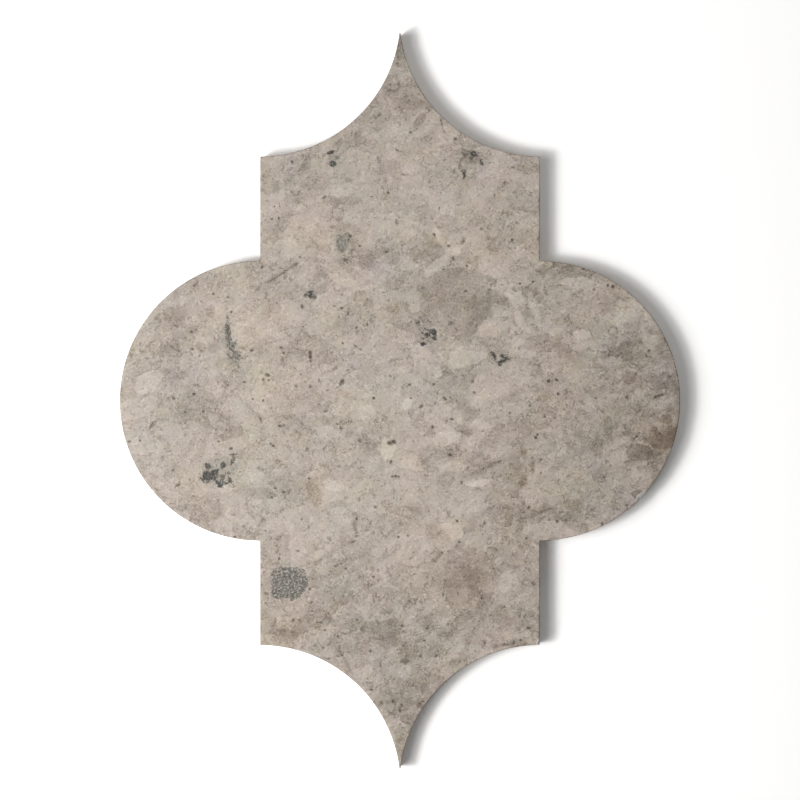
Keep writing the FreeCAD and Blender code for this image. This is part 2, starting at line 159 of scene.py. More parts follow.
# Clasts and shell fragments with firm edges: tone against the stone round them, warmth,
# softness of the edge, then x and y of each corner
SHARDS = (
    (-0.12, -0.6, 0.5, -39.3, 101.6, -37.2, 102, -36.8, 99.2, -37.2, 96.6, -39.3, 95, -42, 94.8,
     -41.2, 97.8),
    (-0.08, -0.6, 0.6, -53.2, 91.2, -50, 91.5, -50, 86.5, -52.8, 86),
    (-0.13, 0.1, 0.4, -32.2, 84, -29.5, 85.4, -25.5, 84, -21.4, 84.7, -18.6, 85.2, -16.1, 84, -16.6, 82.3,
     -19.3, 81.2, -24.1, 81.6, -27.6, 80.2, -29.3, 82, -31.7, 82),
    (-0.07, 0, 0.5, -46.6, 78.1, -45.2, 79, -42.1, 78.6, -35.9, 78.5, -39.3, 77.4, -42.8, 76.8,
     -46.2, 76.8),
    (-0.09, 0, 0.35, -19.4, 69.5, -18.6, 71.2, -16.6, 71.9, -15.8, 70.9, -16.2, 69.2, -18.6, 68.1),
    (-0.06, -0.5, 0.5, -18.3, 58.5, -16.6, 60.6, -12.4, 61.8, -9.3, 60.6, -9, 58.5, -9.7, 55.7,
     -11.7, 53.7, -15.9, 54, -18.3, 56.4),
    (-0.08, -0.2, 0.5, -5.9, 62.6, -3.4, 65, -0.7, 65.4, 0.4, 60, -0.7, 56.4, -4.8, 56.4, -6.6, 58.1),
    (-0.08, -0.2, 0.6, -9.7, 97.1, -9, 99.7, -5.2, 100, 0.5, 99.5, 0.8, 95, -0.4, 88, -0.7, 82.6, -2.8, 83,
     -3.2, 87.5, -3, 93.5, -4.8, 93.7, -9, 94.1),
    (0.1, 0.2, 0.4, -29.7, 52.6, -26.9, 53, -25.5, 51.6, -21.4, 50.6, -17.9, 49.5, -18.6, 47.8,
     -21.4, 47.1, -25.5, 48.1, -27.6, 49.5),
    (-0.25, -0.7, 0.6, -25.5, 68.5, -23.9, 69, -22.4, 68.4, -21.8, 66.2, -21.5, 64.2, -22.4, 62.3,
     -23.4, 61.5, -24.3, 61.7, -25.3, 62.7, -26.1, 64.2, -26.5, 66.2, -26.2, 67.7),
    (-0.22, -0.2, 0.5, -22.8, 70, -21.4, 69.8, -20.1, 68.7, -19.9, 67.9, -20.5, 67.1, -20.7, 66, -21.4, 66,
     -22, 67.3, -22.8, 68.1, -23.1, 69.1),
    (-0.02, 1, 0.5, -20.4, 66.4, -18.8, 67, -17.2, 66.2, -17, 64.4, -18.2, 63, -20.4, 63.2, -21, 64.6),
    (-0.05, 0.6, 0.7, -34.5, 63, -33, 65, -30, 65.2, -28.2, 63, -29, 60.8, -32, 60.3, -34, 61.2),
    (0.05, -0.2, 0.6, -24, 78.5, -20, 79, -16.5, 77.5, -16.5, 74, -20, 72.8, -23.5, 74),
    (0.06, 0, 0.6, -49, 66, -47, 68.5, -43.5, 66, -42.5, 61.5, -45, 59.5, -48.5, 61),
    (-0.09, 0.4, 0.4, 24.1, 97.8, 25, 100.6, 28.4, 101.6, 30.5, 99.2, 31.9, 98.5, 29.8, 96.4, 27.7, 95.4,
     25.3, 95, 24, 96.2),
    (-0.05, 0.2, 0.7, 22.2, 85, 24, 88, 26, 92, 28, 92, 28.4, 87, 28.2, 82, 25, 80, 22.5, 82),
    (-0.1, 0, 0.35, 40.6, 88.2, 42.5, 90, 44.9, 91.3, 44.2, 89.5, 42.3, 87.9),
    (-0.16, 0.2, 0.4, 43.9, 77, 44.6, 79.3, 46.9, 78.5, 46.5, 76.8, 44.4, 75.9),
    (-0.09, 0.1, 0.6, 37, 62.3, 37.2, 64.7, 38.8, 67.4, 40.8, 70.2, 42.9, 73.7, 43.8, 71.6, 41.5, 68.1,
     39.8, 64.7, 39.8, 62.3),
    (0.14, 0.3, 0.35, 14, 69.5, 15.5, 71.2, 17.7, 69.5, 18.3, 65, 16.8, 64.4, 15.3, 67),
    (-0.09, 0.6, 0.4, 5.2, 73.5, 7, 72.8, 10, 69.8, 13, 68, 15, 65.8, 13.5, 64.8, 10.5, 67, 7.5, 69.6,
     5, 72),
    (-0.06, 0.6, 0.4, 14, 74.5, 16, 73.5, 18.3, 71, 20, 67, 19, 66, 17.8, 70, 15.5, 72.4),
    (0.12, -0.3, 0.35, 21.2, 61.5, 22, 63.5, 24.3, 63.6, 25.2, 61.8, 24, 60.2, 22, 60.1),
    (0.1, 0, 0.4, 9.8, 53, 11.9, 55.7, 15.3, 59.2, 18.8, 60.6, 20.1, 59.2, 18.8, 56.4, 15.3, 54.3,
     12.6, 51.6, 10.5, 50.9),
    (0.09, 0, 0.5, 0, 56, 2.5, 58.3, 6, 57.8, 7.5, 56, 5, 54.2, 1, 54),
    (0.06, 0, 0.6, 31.9, 57, 34, 58.8, 37.5, 57, 41, 54, 42.5, 51.5, 40, 51.5, 36, 53.5, 32.5, 54.5),
    (-0.17, -0.2, 0.45, 34.8, 51.6, 37, 52.6, 40.2, 49.7, 39.6, 47.8, 37, 48.5),
    (-0.08, 0, 0.45, 46, 97.4, 48, 98.2, 52, 97.2, 56, 96, 55, 94.8, 50, 95.5, 46.5, 96.1),
    (-0.095, -0.1, 0.6, 6.6, 47.6, 9, 50, 14, 52.5, 19.1, 55.3, 27.4, 55.5, 33.2, 53.2, 35.5, 49.5,
     38.6, 45.5, 37.8, 41, 36.4, 35.2, 33.2, 30.2, 31, 26.6, 29, 22.3, 26, 22.5, 24.4, 25.8, 19.9, 26.8,
     16.6, 29.3, 10, 33.5, 7.5, 38, 8.3, 42.5),
    (0.09, 0.3, 0.4, 3.4, 38.5, 5, 40.8, 8.6, 40.3, 8.2, 37, 5, 36.2),
    (0.12, 0.2, 0.7, 19.8, 15.7, 20.3, 18.4, 23.2, 21.9, 25, 23, 26.5, 21.2, 29.8, 20.6, 36, 20.6,
     36.5, 18.4, 31.9, 15.7, 26.3, 13.8, 22.2, 13.4),
    (0.11, 0, 0.4, 13.6, 12.5, 15.2, 13.9, 17.6, 12.2, 17.2, 10, 14.8, 9.8),
    (-0.08, 0, 0.4, 10.6, 15.2, 13, 16.6, 16, 16.6, 19.5, 14.8, 22.5, 11.5, 26, 9.4, 30.6, 7.2, 29, 5.4,
     25, 6, 22, 8.6, 19.5, 11.4, 17, 14, 14, 14.6),
    (0.07, 0.7, 0.4, 31.5, 27.4, 32.2, 30.8, 35.3, 33.6, 38.1, 33, 41.5, 30.8, 40.1, 27.4, 36, 26.7,
     33.9, 26),
    (0.07, -0.3, 0.5, 37.9, 37, 39.1, 40.5, 42.9, 39.1, 45, 35.7, 41.5, 35, 38.8, 34.3),
    (0.1, 0.3, 0.4, 47, 37, 49.5, 37.6, 52, 32, 54.5, 29, 53.5, 27, 50, 30, 48, 33),
    (0.08, 0, 0.5, 53, 46, 55, 44.5, 57.5, 38, 59.2, 33, 57, 32, 55, 37, 53, 41),
    (0.09, -0.4, 0.4, 45.4, 24.5, 47.5, 26.8, 51, 26, 51, 23.5, 48, 22.4),
    (-0.1, 0.4, 0.5, 50.8, 22.5, 52, 25.3, 56, 27.2, 61.5, 27.7, 65, 25.6, 69, 23.5, 72, 21, 70.8, 19.7,
     66, 20.4, 60, 20.2, 54, 20.2),
    (0.13, 0.1, 0.35, 71.4, 27.7, 72.8, 29.5, 75.9, 29.8, 78.8, 28.4, 79.5, 26.3, 75.9, 25.1, 72.8, 25.8),
    (-0.12, 0, 0.4, 26, -5, 27.4, -2.6, 29.8, -2.2, 31.9, -3.3, 32.5, -5.7, 30.5, -8.5, 27.7, -8.8,
     26, -7.4),
    (-0.13, 0.2, 0.4, 22, -11, 25, -10.2, 29, -11, 30.5, -12.5, 30.2, -14.6, 28.5, -15.3, 26.5, -13.5,
     23, -13),
    (0.14, 0, 0.35, 0.8, -2.3, 1.5, 0.1, 3.2, 1.3, 5, -0.2, 4.6, -3, 1.9, -4),
    (0.07, 0.3, 0.5, 22, -5, 23.5, -3.5, 25.5, -5, 26, -8, 24.5, -9.4, 22.3, -7.5),
    (-0.09, 0.8, 0.35, -27, 4, -25, 4.8, -21.8, 3.9, -20.6, 2, -21.2, 0.6, -24, 1.2, -26.5, 2.6),
    (-0.07, -0.3, 0.5, -34.5, -1.4, -31, -1, -29.5, -2, -30, -5, -32.5, -5.4, -34.3, -3.4),
    (-0.06, -0.4, 0.6, -41, -6, -37, -5.6, -31, -6.4, -30, -8.4, -35, -9, -40.5, -8.6),
    (-0.1, 0.6, 0.4, -60.5, -6, -57, -5.2, -56.4, -7.5, -57, -10, -60, -10),
    (-0.09, -0.2, 0.5, -12.6, 34.5, -11, 36.3, -9.6, 34, -10.6, 31, -12.4, 31.2),
    (-0.08, 0.5, 0.5, -6.9, 38.5, -4, 39.4, 0, 38.6, 0.2, 35.8, -5.2, 36),
    (0.07, -0.5, 0.6, -39.5, 33, -36, 36, -31.5, 34, -30.2, 30, -33, 27.2, -37.5, 27.6),
    (-0.05, 0.3, 0.6, -55.5, 38, -53.5, 41, -50, 40.5, -49.6, 37, -52, 36.2),
    (-0.06, 0, 0.7, -69.4, 14.5, -66, 17.4, -62, 21.2, -56, 22.6, -50, 22.8, -44, 22, -38.5, 20, -40, 16,
     -48, 14.5, -58, 15.2, -61.4, 13.4, -64.5, 9.8, -67.8, 11),
    (-0.07, 0, 0.5, -31.8, 18, -30.5, 20.5, -28, 19.5, -27.2, 16, -29.5, 15, -31.5, 15.6),
    (-0.11, 0.9, 0.35, -39, -34.1, -37.2, -33.4, -35.2, -34.5, -33.4, -36.9, -31, -39, -32.4, -40.7,
     -33.1, -43.1, -34.5, -44.5, -36.2, -43.1, -37.9, -40.3, -39, -37.6),
    (0.13, -0.3, 0.4, -32.6, -33.8, -30.3, -32.4, -27.6, -33.1, -25.5, -34.1, -22.4, -35.5, -24.1, -37.6,
     -27.6, -37.7, -30.3, -36.9),
    (-0.09, -0.2, 0.4, -31.6, -44, -29, -42, -25.5, -41.2, -21.5, -42.6, -19, -40.5, -16.8, -40.1,
     -17.5, -42, -20, -44, -21.5, -45.2, -25.5, -43.7, -29, -45, -31, -46),
    (-0.09, 0, 0.4, -20, -46, -18, -46.4, -17.4, -50, -17.6, -55, -19.4, -53.5, -20, -50),
    (-0.045, -0.3, 0.5, -53.5, -34, -51, -31.4, -47, -32.4, -45, -35, -46, -38, -50, -38.6, -53, -37),
    (0.11, 0.3, 0.45, -7.9, -20.3, -7.6, -15.5, -4.8, -15.1, -1.4, -19, -2.8, -23.1, -5.5, -24.8,
     -7.9, -22.8),
    (-0.09, 0.3, 0.5, -8, -41.5, -4.5, -41, 0, -43.8, 0.5, -47.8, -3, -47.2, -7, -44.6),
    (0.17, 0.1, 0.3, 26.2, -34.6, 29.1, -33.8, 31.9, -33, 35.3, -32.3, 37.6, -32.8, 36.7, -34.2, 33.9, -36,
     30.5, -35.6, 27.7, -35.3),
    (-0.06, 0, 0.45, 1.5, -30.7, 8.4, -31.2, 13.9, -32.4, 16, -30.7, 22.2, -30.2, 26.3, -30.6, 31.2, -29.2,
     36, -26.4, 40.8, -23.6, 44.3, -21.6, 49.8, -23, 49.8, -25, 45, -24.9, 41.5, -26.6, 38.1, -28.6,
     34.6, -30.7, 31.2, -32.3, 26.3, -33.8, 21.5, -36.2, 16, -36.6, 13.9, -34.3, 8.4, -34, 1.5, -33),
    (0.12, 0.1, 0.4, 13.2, -16.2, 15.3, -13.8, 18.8, -12.7, 22.9, -13.1, 25, -15.2, 22.9, -17.3,
     18.8, -18.7, 15, -18.4),
    (-0.065, 0, 0.45, 7.4, -22.4, 8.4, -20.2, 12.6, -19.8, 17.4, -20.2, 21.5, -21.7, 19.4, -23.8,
     16, -24.8, 12.6, -25.6, 9.1, -24.9),
    (0.09, 0.4, 0.45, 0.5, -23.8, 3.6, -21.6, 6.8, -23.1, 9.1, -26.6, 10.5, -29.2, 7, -29.5, 3.6, -28.6,
     0.8, -27.2),
    (0.07, 0, 0.5, 16, -27, 18.5, -25.6, 23, -24.5, 26.5, -26, 25, -29, 20, -29.4, 17, -29.6),
    (-0.08, 0.2, 0.4, -1, -15.5, 0.4, -13, 2.8, -12.8, 3.8, -15, 2.6, -17.2, 0, -17.2),
    (-0.06, 0, 0.4, 32.4, -17.5, 34, -15.4, 37, -16, 39.5, -18, 37, -20, 33.5, -19.8),
    (-0.1, 0.1, 0.5, 35.3, -44.5, 38.8, -43, 44.3, -42.7, 47, -44.5, 47.4, -49.3, 45.7, -52.3, 42.2, -52.5,
     39.4, -50.8, 36.7, -48.7, 35, -46.6),
    (-0.05, 0, 0.5, 1.2, -43.6, 3, -43.2, 7, -45.3, 13, -44.8, 13.6, -47, 8, -48.6, 3, -48.7, 1.2, -47.5),
    (-0.06, 0.7, 0.5, 10.4, -54, 12, -51.5, 15, -51.4, 16.9, -54, 16, -57, 13, -57.8, 10.8, -56.5),
    (0.11, 0.4, 0.4, 16.6, -51.4, 18.8, -50.6, 24.3, -51.3, 26.4, -54.1, 25.8, -57, 22.2, -57.7,
     18.8, -54.9),
    (-0.08, 0.8, 0.5, -34, -90.7, -30.3, -87, -27.6, -84.8, -24.1, -82.2, -19.3, -80, -18.4, -81.7,
     -22.8, -84.7, -26.9, -88.2, -30.3, -91),
    (-0.07, 0, 0.6, -15.2, -93, -12, -91, -8, -92.5, -5.5, -90.5, -1.4, -90.3, 0.4, -93, -1, -96.5,
     -5, -99.5, -11, -99.7, -14.5, -97),
    (-0.055, 0.5, 0.7, 19, -62, 23, -60.8, 28, -61.4, 33, -61.9, 36.5, -63, 38.6, -66, 40.4, -70,
     40.6, -74, 39, -78, 37, -83, 33, -86, 27, -87, 22, -86.5, 19, -83, 18.2, -78, 18.8, -72, 18, -66),
    (0.1, -0.1, 0.4, 41.2, -77.6, 41.8, -72.1, 45, -69.8, 46.5, -73.4, 45.7, -77.6, 42.9, -80.4),
    (0.09, 0.6, 0.4, 42.9, -97.6, 44.4, -95.2, 46.4, -96.4, 46, -99, 43.8, -99.6),
    (0.07, -0.1, 0.45, 23, -99.5, 25, -96, 28.2, -94.2, 27.5, -97, 25.5, -100.2),
    (0.07, -0.2, 0.5, 17.5, -107.5, 20, -103.5, 23.5, -101, 26.4, -101.4, 24, -105, 20.5, -108.5),
    (0.06, -0.5, 0.4, 15.8, -91.6, 17.2, -91, 20.2, -91.2, 19.8, -93.4, 17, -94),
    (-0.07, 0.7, 0.5, -18, -99.8, -14, -99.6, -11.2, -101, -11.6, -104.4, -15.5, -104.8, -18.2, -102.6),
    (-0.07, 0.4, 0.45, -98, 38, -95.2, 39.2, -91.8, 39.8, -88.3, 38, -88.7, 34.6, -89.7, 31.8, -93.2, 31,
     -96.6, 32.5, -98.3, 35.2),
    (-0.08, 0.8, 0.4, -80.6, 38, -78.5, 40.1, -76.7, 38.5, -76.9, 36, -78.5, 34.4, -80.2, 35.5),
    (-0.12, 0.6, 0.45, -85, 22.8, -83.5, 25, -80.4, 23, -80.5, 20.5, -83, 19.7),
    (0.1, -0.3, 0.6, -110.4, 5.6, -109, 9.3, -104.2, 12.6, -99.4, 12.2, -97.3, 10.4, -100, 7.7,
     -102.1, 4.2, -106.3, 2.4, -109, 3.4),
    (-0.06, -0.2, 0.6, -91.4, 2.8, -87.7, 4.2, -82.1, 4.9, -77.3, 2.8, -75, -0.6, -77, -4, -82, -5,
     -87, -4, -90.5, -1),
    (-0.15, 0, 0.4, -105.2, -12.8, -103.6, -10, -102, -8, -99.8, -7.4, -101, -9.2, -103, -11.8),
    (-0.14, 0.6, 0.5, -75.1, -15.2, -72.3, -12.4, -68.2, -10.2, -65, -10.4, -64.6, -13.9, -66.8, -15.4,
     -71, -16, -73.7, -16.8),
    (0.06, 0.4, 0.4, -80, -7, -78.6, -5.4, -76, -5.6, -75.7, -8.2, -77.6, -9.2),
    (-0.06, 0.5, 0.45, -66, -22, -64, -20.8, -62.4, -23, -62.8, -26, -64.5, -28, -66, -26),
    (0.05, -0.3, 0.7, -99, -9, -95, -7.2, -90.5, -9.5, -90, -15, -93.5, -18.6, -98, -17),
    (-0.09, -0.1, 0.4, 92.4, 31.8, 94.6, 34, 98, 34.7, 99.8, 32.5, 99.4, 28.3, 97.3, 25.4, 94.6, 26.9,
     92.5, 29),
    (-0.09, -0.3, 0.5, 100.4, 35, 102.5, 33.2, 104.7, 30, 105.2, 28, 102.8, 26, 101.2, 28.5, 101.4, 32.2),
    (-0.07, 0, 0.5, 66.5, 40, 69, 42.6, 73, 42.1, 77, 42.4, 79.6, 41, 79, 38.4, 74, 37.4, 69, 37.5),
    (-0.04, -0.4, 0.5, 74.4, 32.5, 76, 34, 78.9, 33.2, 78.6, 31.4, 75.6, 31.2),
    (-0.09, 0.5, 0.5, 91.5, 11, 94, 13.6, 97, 12.5, 98.5, 9.5, 97, 7, 93.5, 6.9, 91.5, 8.5),
    (-0.17, 1, 0.6, 100.9, -17.6, 101.6, -15.2, 105, -14.6, 104, -11.1, 106.1, -10.6, 107.8, -13.2,
     110.6, -14.6, 111.2, -12.5, 114.7, -11.1, 115.9, -14.6, 114.6, -18.7, 110.6, -20.1, 107.1, -19.7,
     105.4, -19.6, 103, -17.8),
    (-0.15, 0.3, 0.45, 93.7, -21.8, 95.4, -18, 99.5, -17.7, 102.3, -18.9, 104.7, -20.9, 105.4, -23.5,
     103, -24.6, 99.5, -25.2, 95.4, -24.6),
    (-0.15, 0.8, 0.5, 107, -8.5, 108.5, -6, 112, -5.4, 113, -7.5, 112.6, -9.5, 110, -9.9),
    (-0.11, 0, 0.45, 79.5, -18, 81.2, -15.1, 83.4, -15.6, 84.6, -18, 84.3, -22.1, 83, -24.3, 80.9, -23.5,
     79.9, -20.8),
    (-0.11, 0, 0.45, 84.3, -12, 85, -8, 86, -5.6, 88.2, -7.5, 88.2, -12, 87.5, -15.4, 85.8, -15.2),
    (-0.07, -0.4, 0.5, 79.5, -31, 82, -30, 85.3, -31, 85, -33.8, 81, -34.1),
    (-0.21, -0.5, 0.4, 95.6, -38.5, 98, -36.8, 100.6, -37.2, 99.6, -39.8, 97.4, -40.6),
    (-0.06, 0.6, 0.5, 67.5, -42, 70, -40.4, 74, -41, 76.2, -43.5, 75, -46, 71, -46.2, 68, -44.5),
    (0.06, 0.5, 0.5, 96, -10.5, 99, -8.4, 102.6, -9, 103, -12, 99.8, -12.8, 97, -14, 95.6, -12.6),
    (-0.04, 0, 0.8, 106.6, 25, 109, 26, 112, 20, 114.6, 12, 116.2, 2, 116, -10, 113.8, -9, 113.4, 0,
     112, 8, 110, 15, 107.5, 21),
    (-0.13, 0.2, 0.4, 5.2, 112.3, 5.9, 115.8, 7.6, 118.5, 10, 119.6, 11.4, 118.3, 10, 115.8, 7.9, 113.7,
     6.2, 111.5),
    (-0.08, 0.3, 0.6, 0.3, 125.4, 4.5, 127.2, 8.6, 125.4, 12.6, 122.4, 14.2, 120, 12.4, 120, 10.6, 121.6,
     7.2, 121.2, 3.8, 120.2, 3.1, 123.3),
    (-0.13, 0.5, 0.4, 22, 107, 23, 109.8, 25, 109.1, 27.2, 107.5, 25.5, 105.4, 23, 105.9),
    (-0.1, 0.4, 0.5, 0, -131, 2, -129.8, 6, -130, 5.6, -133.6, 2, -134, 0, -133),
    (-0.09, 0.4, 0.5, 6, -125, 8, -123.2, 9.6, -123.8, 9, -126.6, 6.8, -127.2),
)

# Wide changes of tone across the slab, in the same order: partly the stone's own tone and
# partly painted light and shade, darker over the right lobe, the points and the lower half
TONE_AND_LIGHT_REGIONS = (
    (116, 0, 84, 34, 90, -0.16), (0, 136, 44, 44, 90, -0.09), (0, -122, 62, 56, 90, -0.09),
    (-112, 4, 50, 30, 90, 0.07), (-84, 8, 50, 54, 0, -0.06), (10, -85, 110, 36, 0, -0.08),
    (28, -75, 40, 32, 0, -0.03), (84, -8, 60, 50, 90, -0.06), (0, 84, 76, 30, 0, 0.055),
    (0, -4, 70, 50, 0, 0.04), (-62, -2, 26, 70, 0, 0.03),
)

# Warm and cool zones, in the same order, with how warm each is at the end
WARMTHS = (
    (-48, -93, 34, 24, 30, 0.9), (-52, 27, 34, 26, 90, 0.5), (-36, -38, 14, 10, 100, 0.8),
    (-82, -46, 50, 20, -20, 0.5), (-31, 73, 26, 14, 0, 0.6), (0, 140, 30, 20, 90, -0.6),
    (0, -135, 36, 24, 90, -0.5), (-98, -20, 40, 24, 100, -0.5), (28, -74, 30, 20, 30, 0.6),
    (62, 23, 24, 9, -16, 0.8), (105, -16, 24, 16, 70, 0.7), (0, -100, 50, 24, 0, -0.4),
    (12, 10, 46, 30, 0, -0.4), (87, 40, 22, 12, 80, 0.6), (-30, 4, 30, 20, 0, 0.5),
    (62, 62, 20, 9, -10, 0.5), (80, -30, 40, 26, 0, -0.5), (112, 14, 26, 12, 90, -0.6),
)

# Grey-green crystals, in the same order, with how densely they stand at the end
CRYSTALS = (
    (-80.3, -30.6, 3.2, 2.6, 70, 1.1), (-78, -31.5, 5.6, 2.6, 10, 1.15), (-76.7, -29.7, 3.4, 2.2, 35, 1.1),
    (-81.1, -32.3, 3.4, 1.4, 0, 1.15), (-76.2, -33.2, 1.6, 1.4, 0, 0.9), (-80.1, -33.5, 2.4, 1.1, 10, 0.7),
    (-79.6, -27.2, 2.8, 2, -50, 1), (-76.1, -27.1, 4.2, 1.5, 0, 0.45), (-73.4, -26.7, 2.8, 2.2, 80, 1.05),
    (-69.7, -25.3, 1.6, 1.3, 90, 1.1), (-69.1, -22.5, 2.4, 0.9, 0, 1), (-69, -23.6, 1.8, 0.8, 90, 0.9),
    (-70.1, -19.9, 1.4, 1.3, 0, 0.85), (-73.6, -32.4, 3.4, 1, 68, 0.75),
    (-74.7, -34.7, 3.1, 2.1, -20, 1.15), (-72.1, -34.2, 2, 0.9, 5, 1), (-70.4, -32.9, 3.3, 1.4, -65, 1.05),
    (-71.3, -30, 1.4, 1, 0, 0.85), (-70.1, -29.4, 2.6, 1.2, 20, 0.4), (-68, -27.2, 3.4, 1.1, 88, 0.4),
    (-46, -75.4, 14.6, 12.8, 0, 0.68), (-50.6, -71.7, 5.6, 4.4, 0, 0.66), (-42, -71.9, 6.2, 5.2, -20, 0.62),
    (-50.4, -79.6, 6, 5, 20, 0.74), (-43.6, -79.4, 6.4, 5.6, 30, 0.72), (-40.6, -75.2, 4.8, 6.4, 0, 0.7),
    (-46.8, -68.1, 3, 1.3, 25, 0.4), (-24.9, 65.1, 7, 3.4, 98, 0.5), (-24.2, 62.8, 2.6, 2.4, 0, 0.55),
    (-23, 65.2, 2.4, 4, 0, 0.35), (-21.6, 67.9, 3.8, 2.2, 115, 0.45), (-37.2, 44.6, 2.9, 1.5, 50, 1.1),
    (-38.6, 44.1, 2, 0.9, 20, 0.8), (-37, 43.6, 1.2, 2, 0, 0.9), (-35.6, 42.8, 1.7, 1.1, 0, 0.8),
    (-35.9, 46.9, 1, 1.2, 0, 0.5), (-35.5, 44.6, 1.5, 0.9, 0, 0.5), (-27.8, 98.4, 2.8, 2.4, 0, 1),
    (-26.1, 100.7, 1.6, 1.2, 85, 0.6), (-28.6, 103.2, 2.6, 1.1, 15, 0.95), (-71.3, 33.5, 4.4, 1, 100, 0.6),
    (-71.4, 29.3, 5.2, 2.2, 100, 0.8), (-73.8, 25.6, 4.4, 2.4, 30, 0.4), (-71.4, 26, 4, 2.6, -70, 0.7),
    (-70.2, 23, 4.6, 2.9, -60, 0.7), (-68.4, 23.9, 2.6, 1, 60, 0.6), (-68.3, 19.4, 4, 2.1, -70, 0.65),
    (-66.8, 18.2, 2.2, 1, 80, 0.7), (-70.8, 18.6, 2.6, 1.1, -50, 0.65), (-67.7, 15.4, 5.2, 1.1, -60, 0.55),
    (-65.1, 10.8, 5, 1, -60, 0.2), (7.5, 32.6, 1.7, 1.5, 0, 0.85), (11.4, 27.3, 2.4, 1.9, 0, 1.05),
    (12.7, 28.7, 1.5, 1.3, 40, 1), (14.5, 27.9, 3.4, 1.5, -80, 1.05), (14.3, 25.8, 1.9, 1.2, -20, 1),
    (9.3, 28.3, 1.4, 1, -30, 0.9), (9.7, 25.8, 1.2, 1, 0, 0.9), (9.4, 23.5, 2.1, 1.6, -10, 1.05),
    (10.4, 29.9, 2.4, 0.8, 0, 0.7), (11.6, 24.8, 0.9, 0.8, 0, 0.7), (21.2, 32.2, 2.3, 2, 0, 0.6),
    (38.4, 19.4, 2.4, 1.4, -40, 0.95), (39.4, 17.9, 1.5, 1.2, -60, 0.8), (42.5, 18.7, 1.6, 1.4, 0, 0.95),
    (44.4, 17.5, 2.8, 1.2, -5, 0.95), (41.7, 15.8, 2.3, 1.5, 60, 0.95), (43.1, 16.7, 2.1, 1, 0, 0.9),
    (40.4, 16.3, 1.3, 0.8, -30, 0.8), (30.5, 102.3, 2.3, 2.2, 90, 1), (29.7, 100.7, 1.3, 1.3, 0, 1),
    (31.7, 101.7, 1.1, 1, 0, 0.9), (33.8, 98.8, 2.5, 1.2, -65, 0.95), (26.8, 94, 2.9, 1.2, 88, 0.95),
    (26.5, 102.1, 1.3, 0.8, -40, 0.8), (25.3, 95.7, 1.6, 0.8, 90, 0.5),
)

# Grey haze round the crystals and alone, in the same order, with its strength at the end
HAZES = (
    (-93.9, 7.1, 2.9, 2.6, -50, 0.5), (-10.8, 35.5, 2.2, 2.2, 0, 0.45), (-19.9, 19.4, 2.4, 2, 0, 0.45),
    (-75.6, -28.8, 15.5, 12.5, 0, 0.5), (-23.2, 65.6, 7, 8, 60, 0.35), (-70.6, 24.4, 21, 6, 105, 0.5),
    (11, 28.2, 7.5, 11.5, 20, 0.42), (41.4, 17.6, 9, 6.5, 0, 0.45), (-37, 44.7, 5, 5, 0, 0.5),
    (-27.4, 100, 4.6, 7, 0, 0.42), (29.6, 100.4, 9, 6, -30, 0.45), (26.6, 94.4, 3, 6, 0, 0.4),
)

# Stains of iron, in the same order, with their strength at the end
STAINS = (
    (111.2, -15.1, 11, 6.6, 70, 0.8), (103.7, -12.2, 7, 5, -50, 0.5), (50.8, -21.2, 7.5, 2.3, 95, 0.9),
    (51.5, -33.1, 4, 3, 80, 1.1), (54.8, -26.4, 7, 2.4, 95, 0.8), (49.6, -27.5, 20, 8, 90, 0.4),
    (56.8, 5.3, 4, 3.4, 80, 0.5), (60.1, 3.6, 7, 6, 0, 0.3), (87.5, 44.7, 7.5, 6.6, 30, 0.4),
    (86.3, 38.5, 8, 6, 80, 0.35), (94.2, 9, 7.5, 4, 0, 0.45), (100.8, 6.1, 3.4, 2.5, 0, 0.5),
    (55.6, -75.8, 2.8, 2.4, 0, 0.6), (44.4, -90.5, 4, 3, 0, 0.45), (45.2, -92.2, 6, 5, 0, 0.3),
    (16.6, -115.9, 3.4, 3.2, 0, 0.4), (74.7, 16.1, 6, 4, 90, 0.4), (29, -74.4, 21, 8, 0, 0.25),
    (-19.1, 65, 3.4, 3.2, 0, 0.45), (-14.1, 57.5, 6, 5, 0, 0.35), (0, -140.7, 8, 3.4, 90, 0.3),
    (8.3, -127.1, 6, 3.4, 80, 0.35), (-36.1, -74.4, 7, 3.4, 90, 0.3), (13.3, -53.6, 6, 6, 0, 0.3),
    (-3.3, -17.5, 2.2, 1.6, 0, 0.5), (14.1, 66.7, 10, 7.5, 0, 0.25), (-45.6, -97.2, 13, 6, 0, 0.2),
    (109.1, -25.8, 9, 4, 75, 0.4), (115.3, -1.8, 17, 1.8, 90, 0.4), (98.5, -14.9, 2, 1.8, 0, 0.4),
    (69.5, 19, 12, 4, -42, 0.4),
)

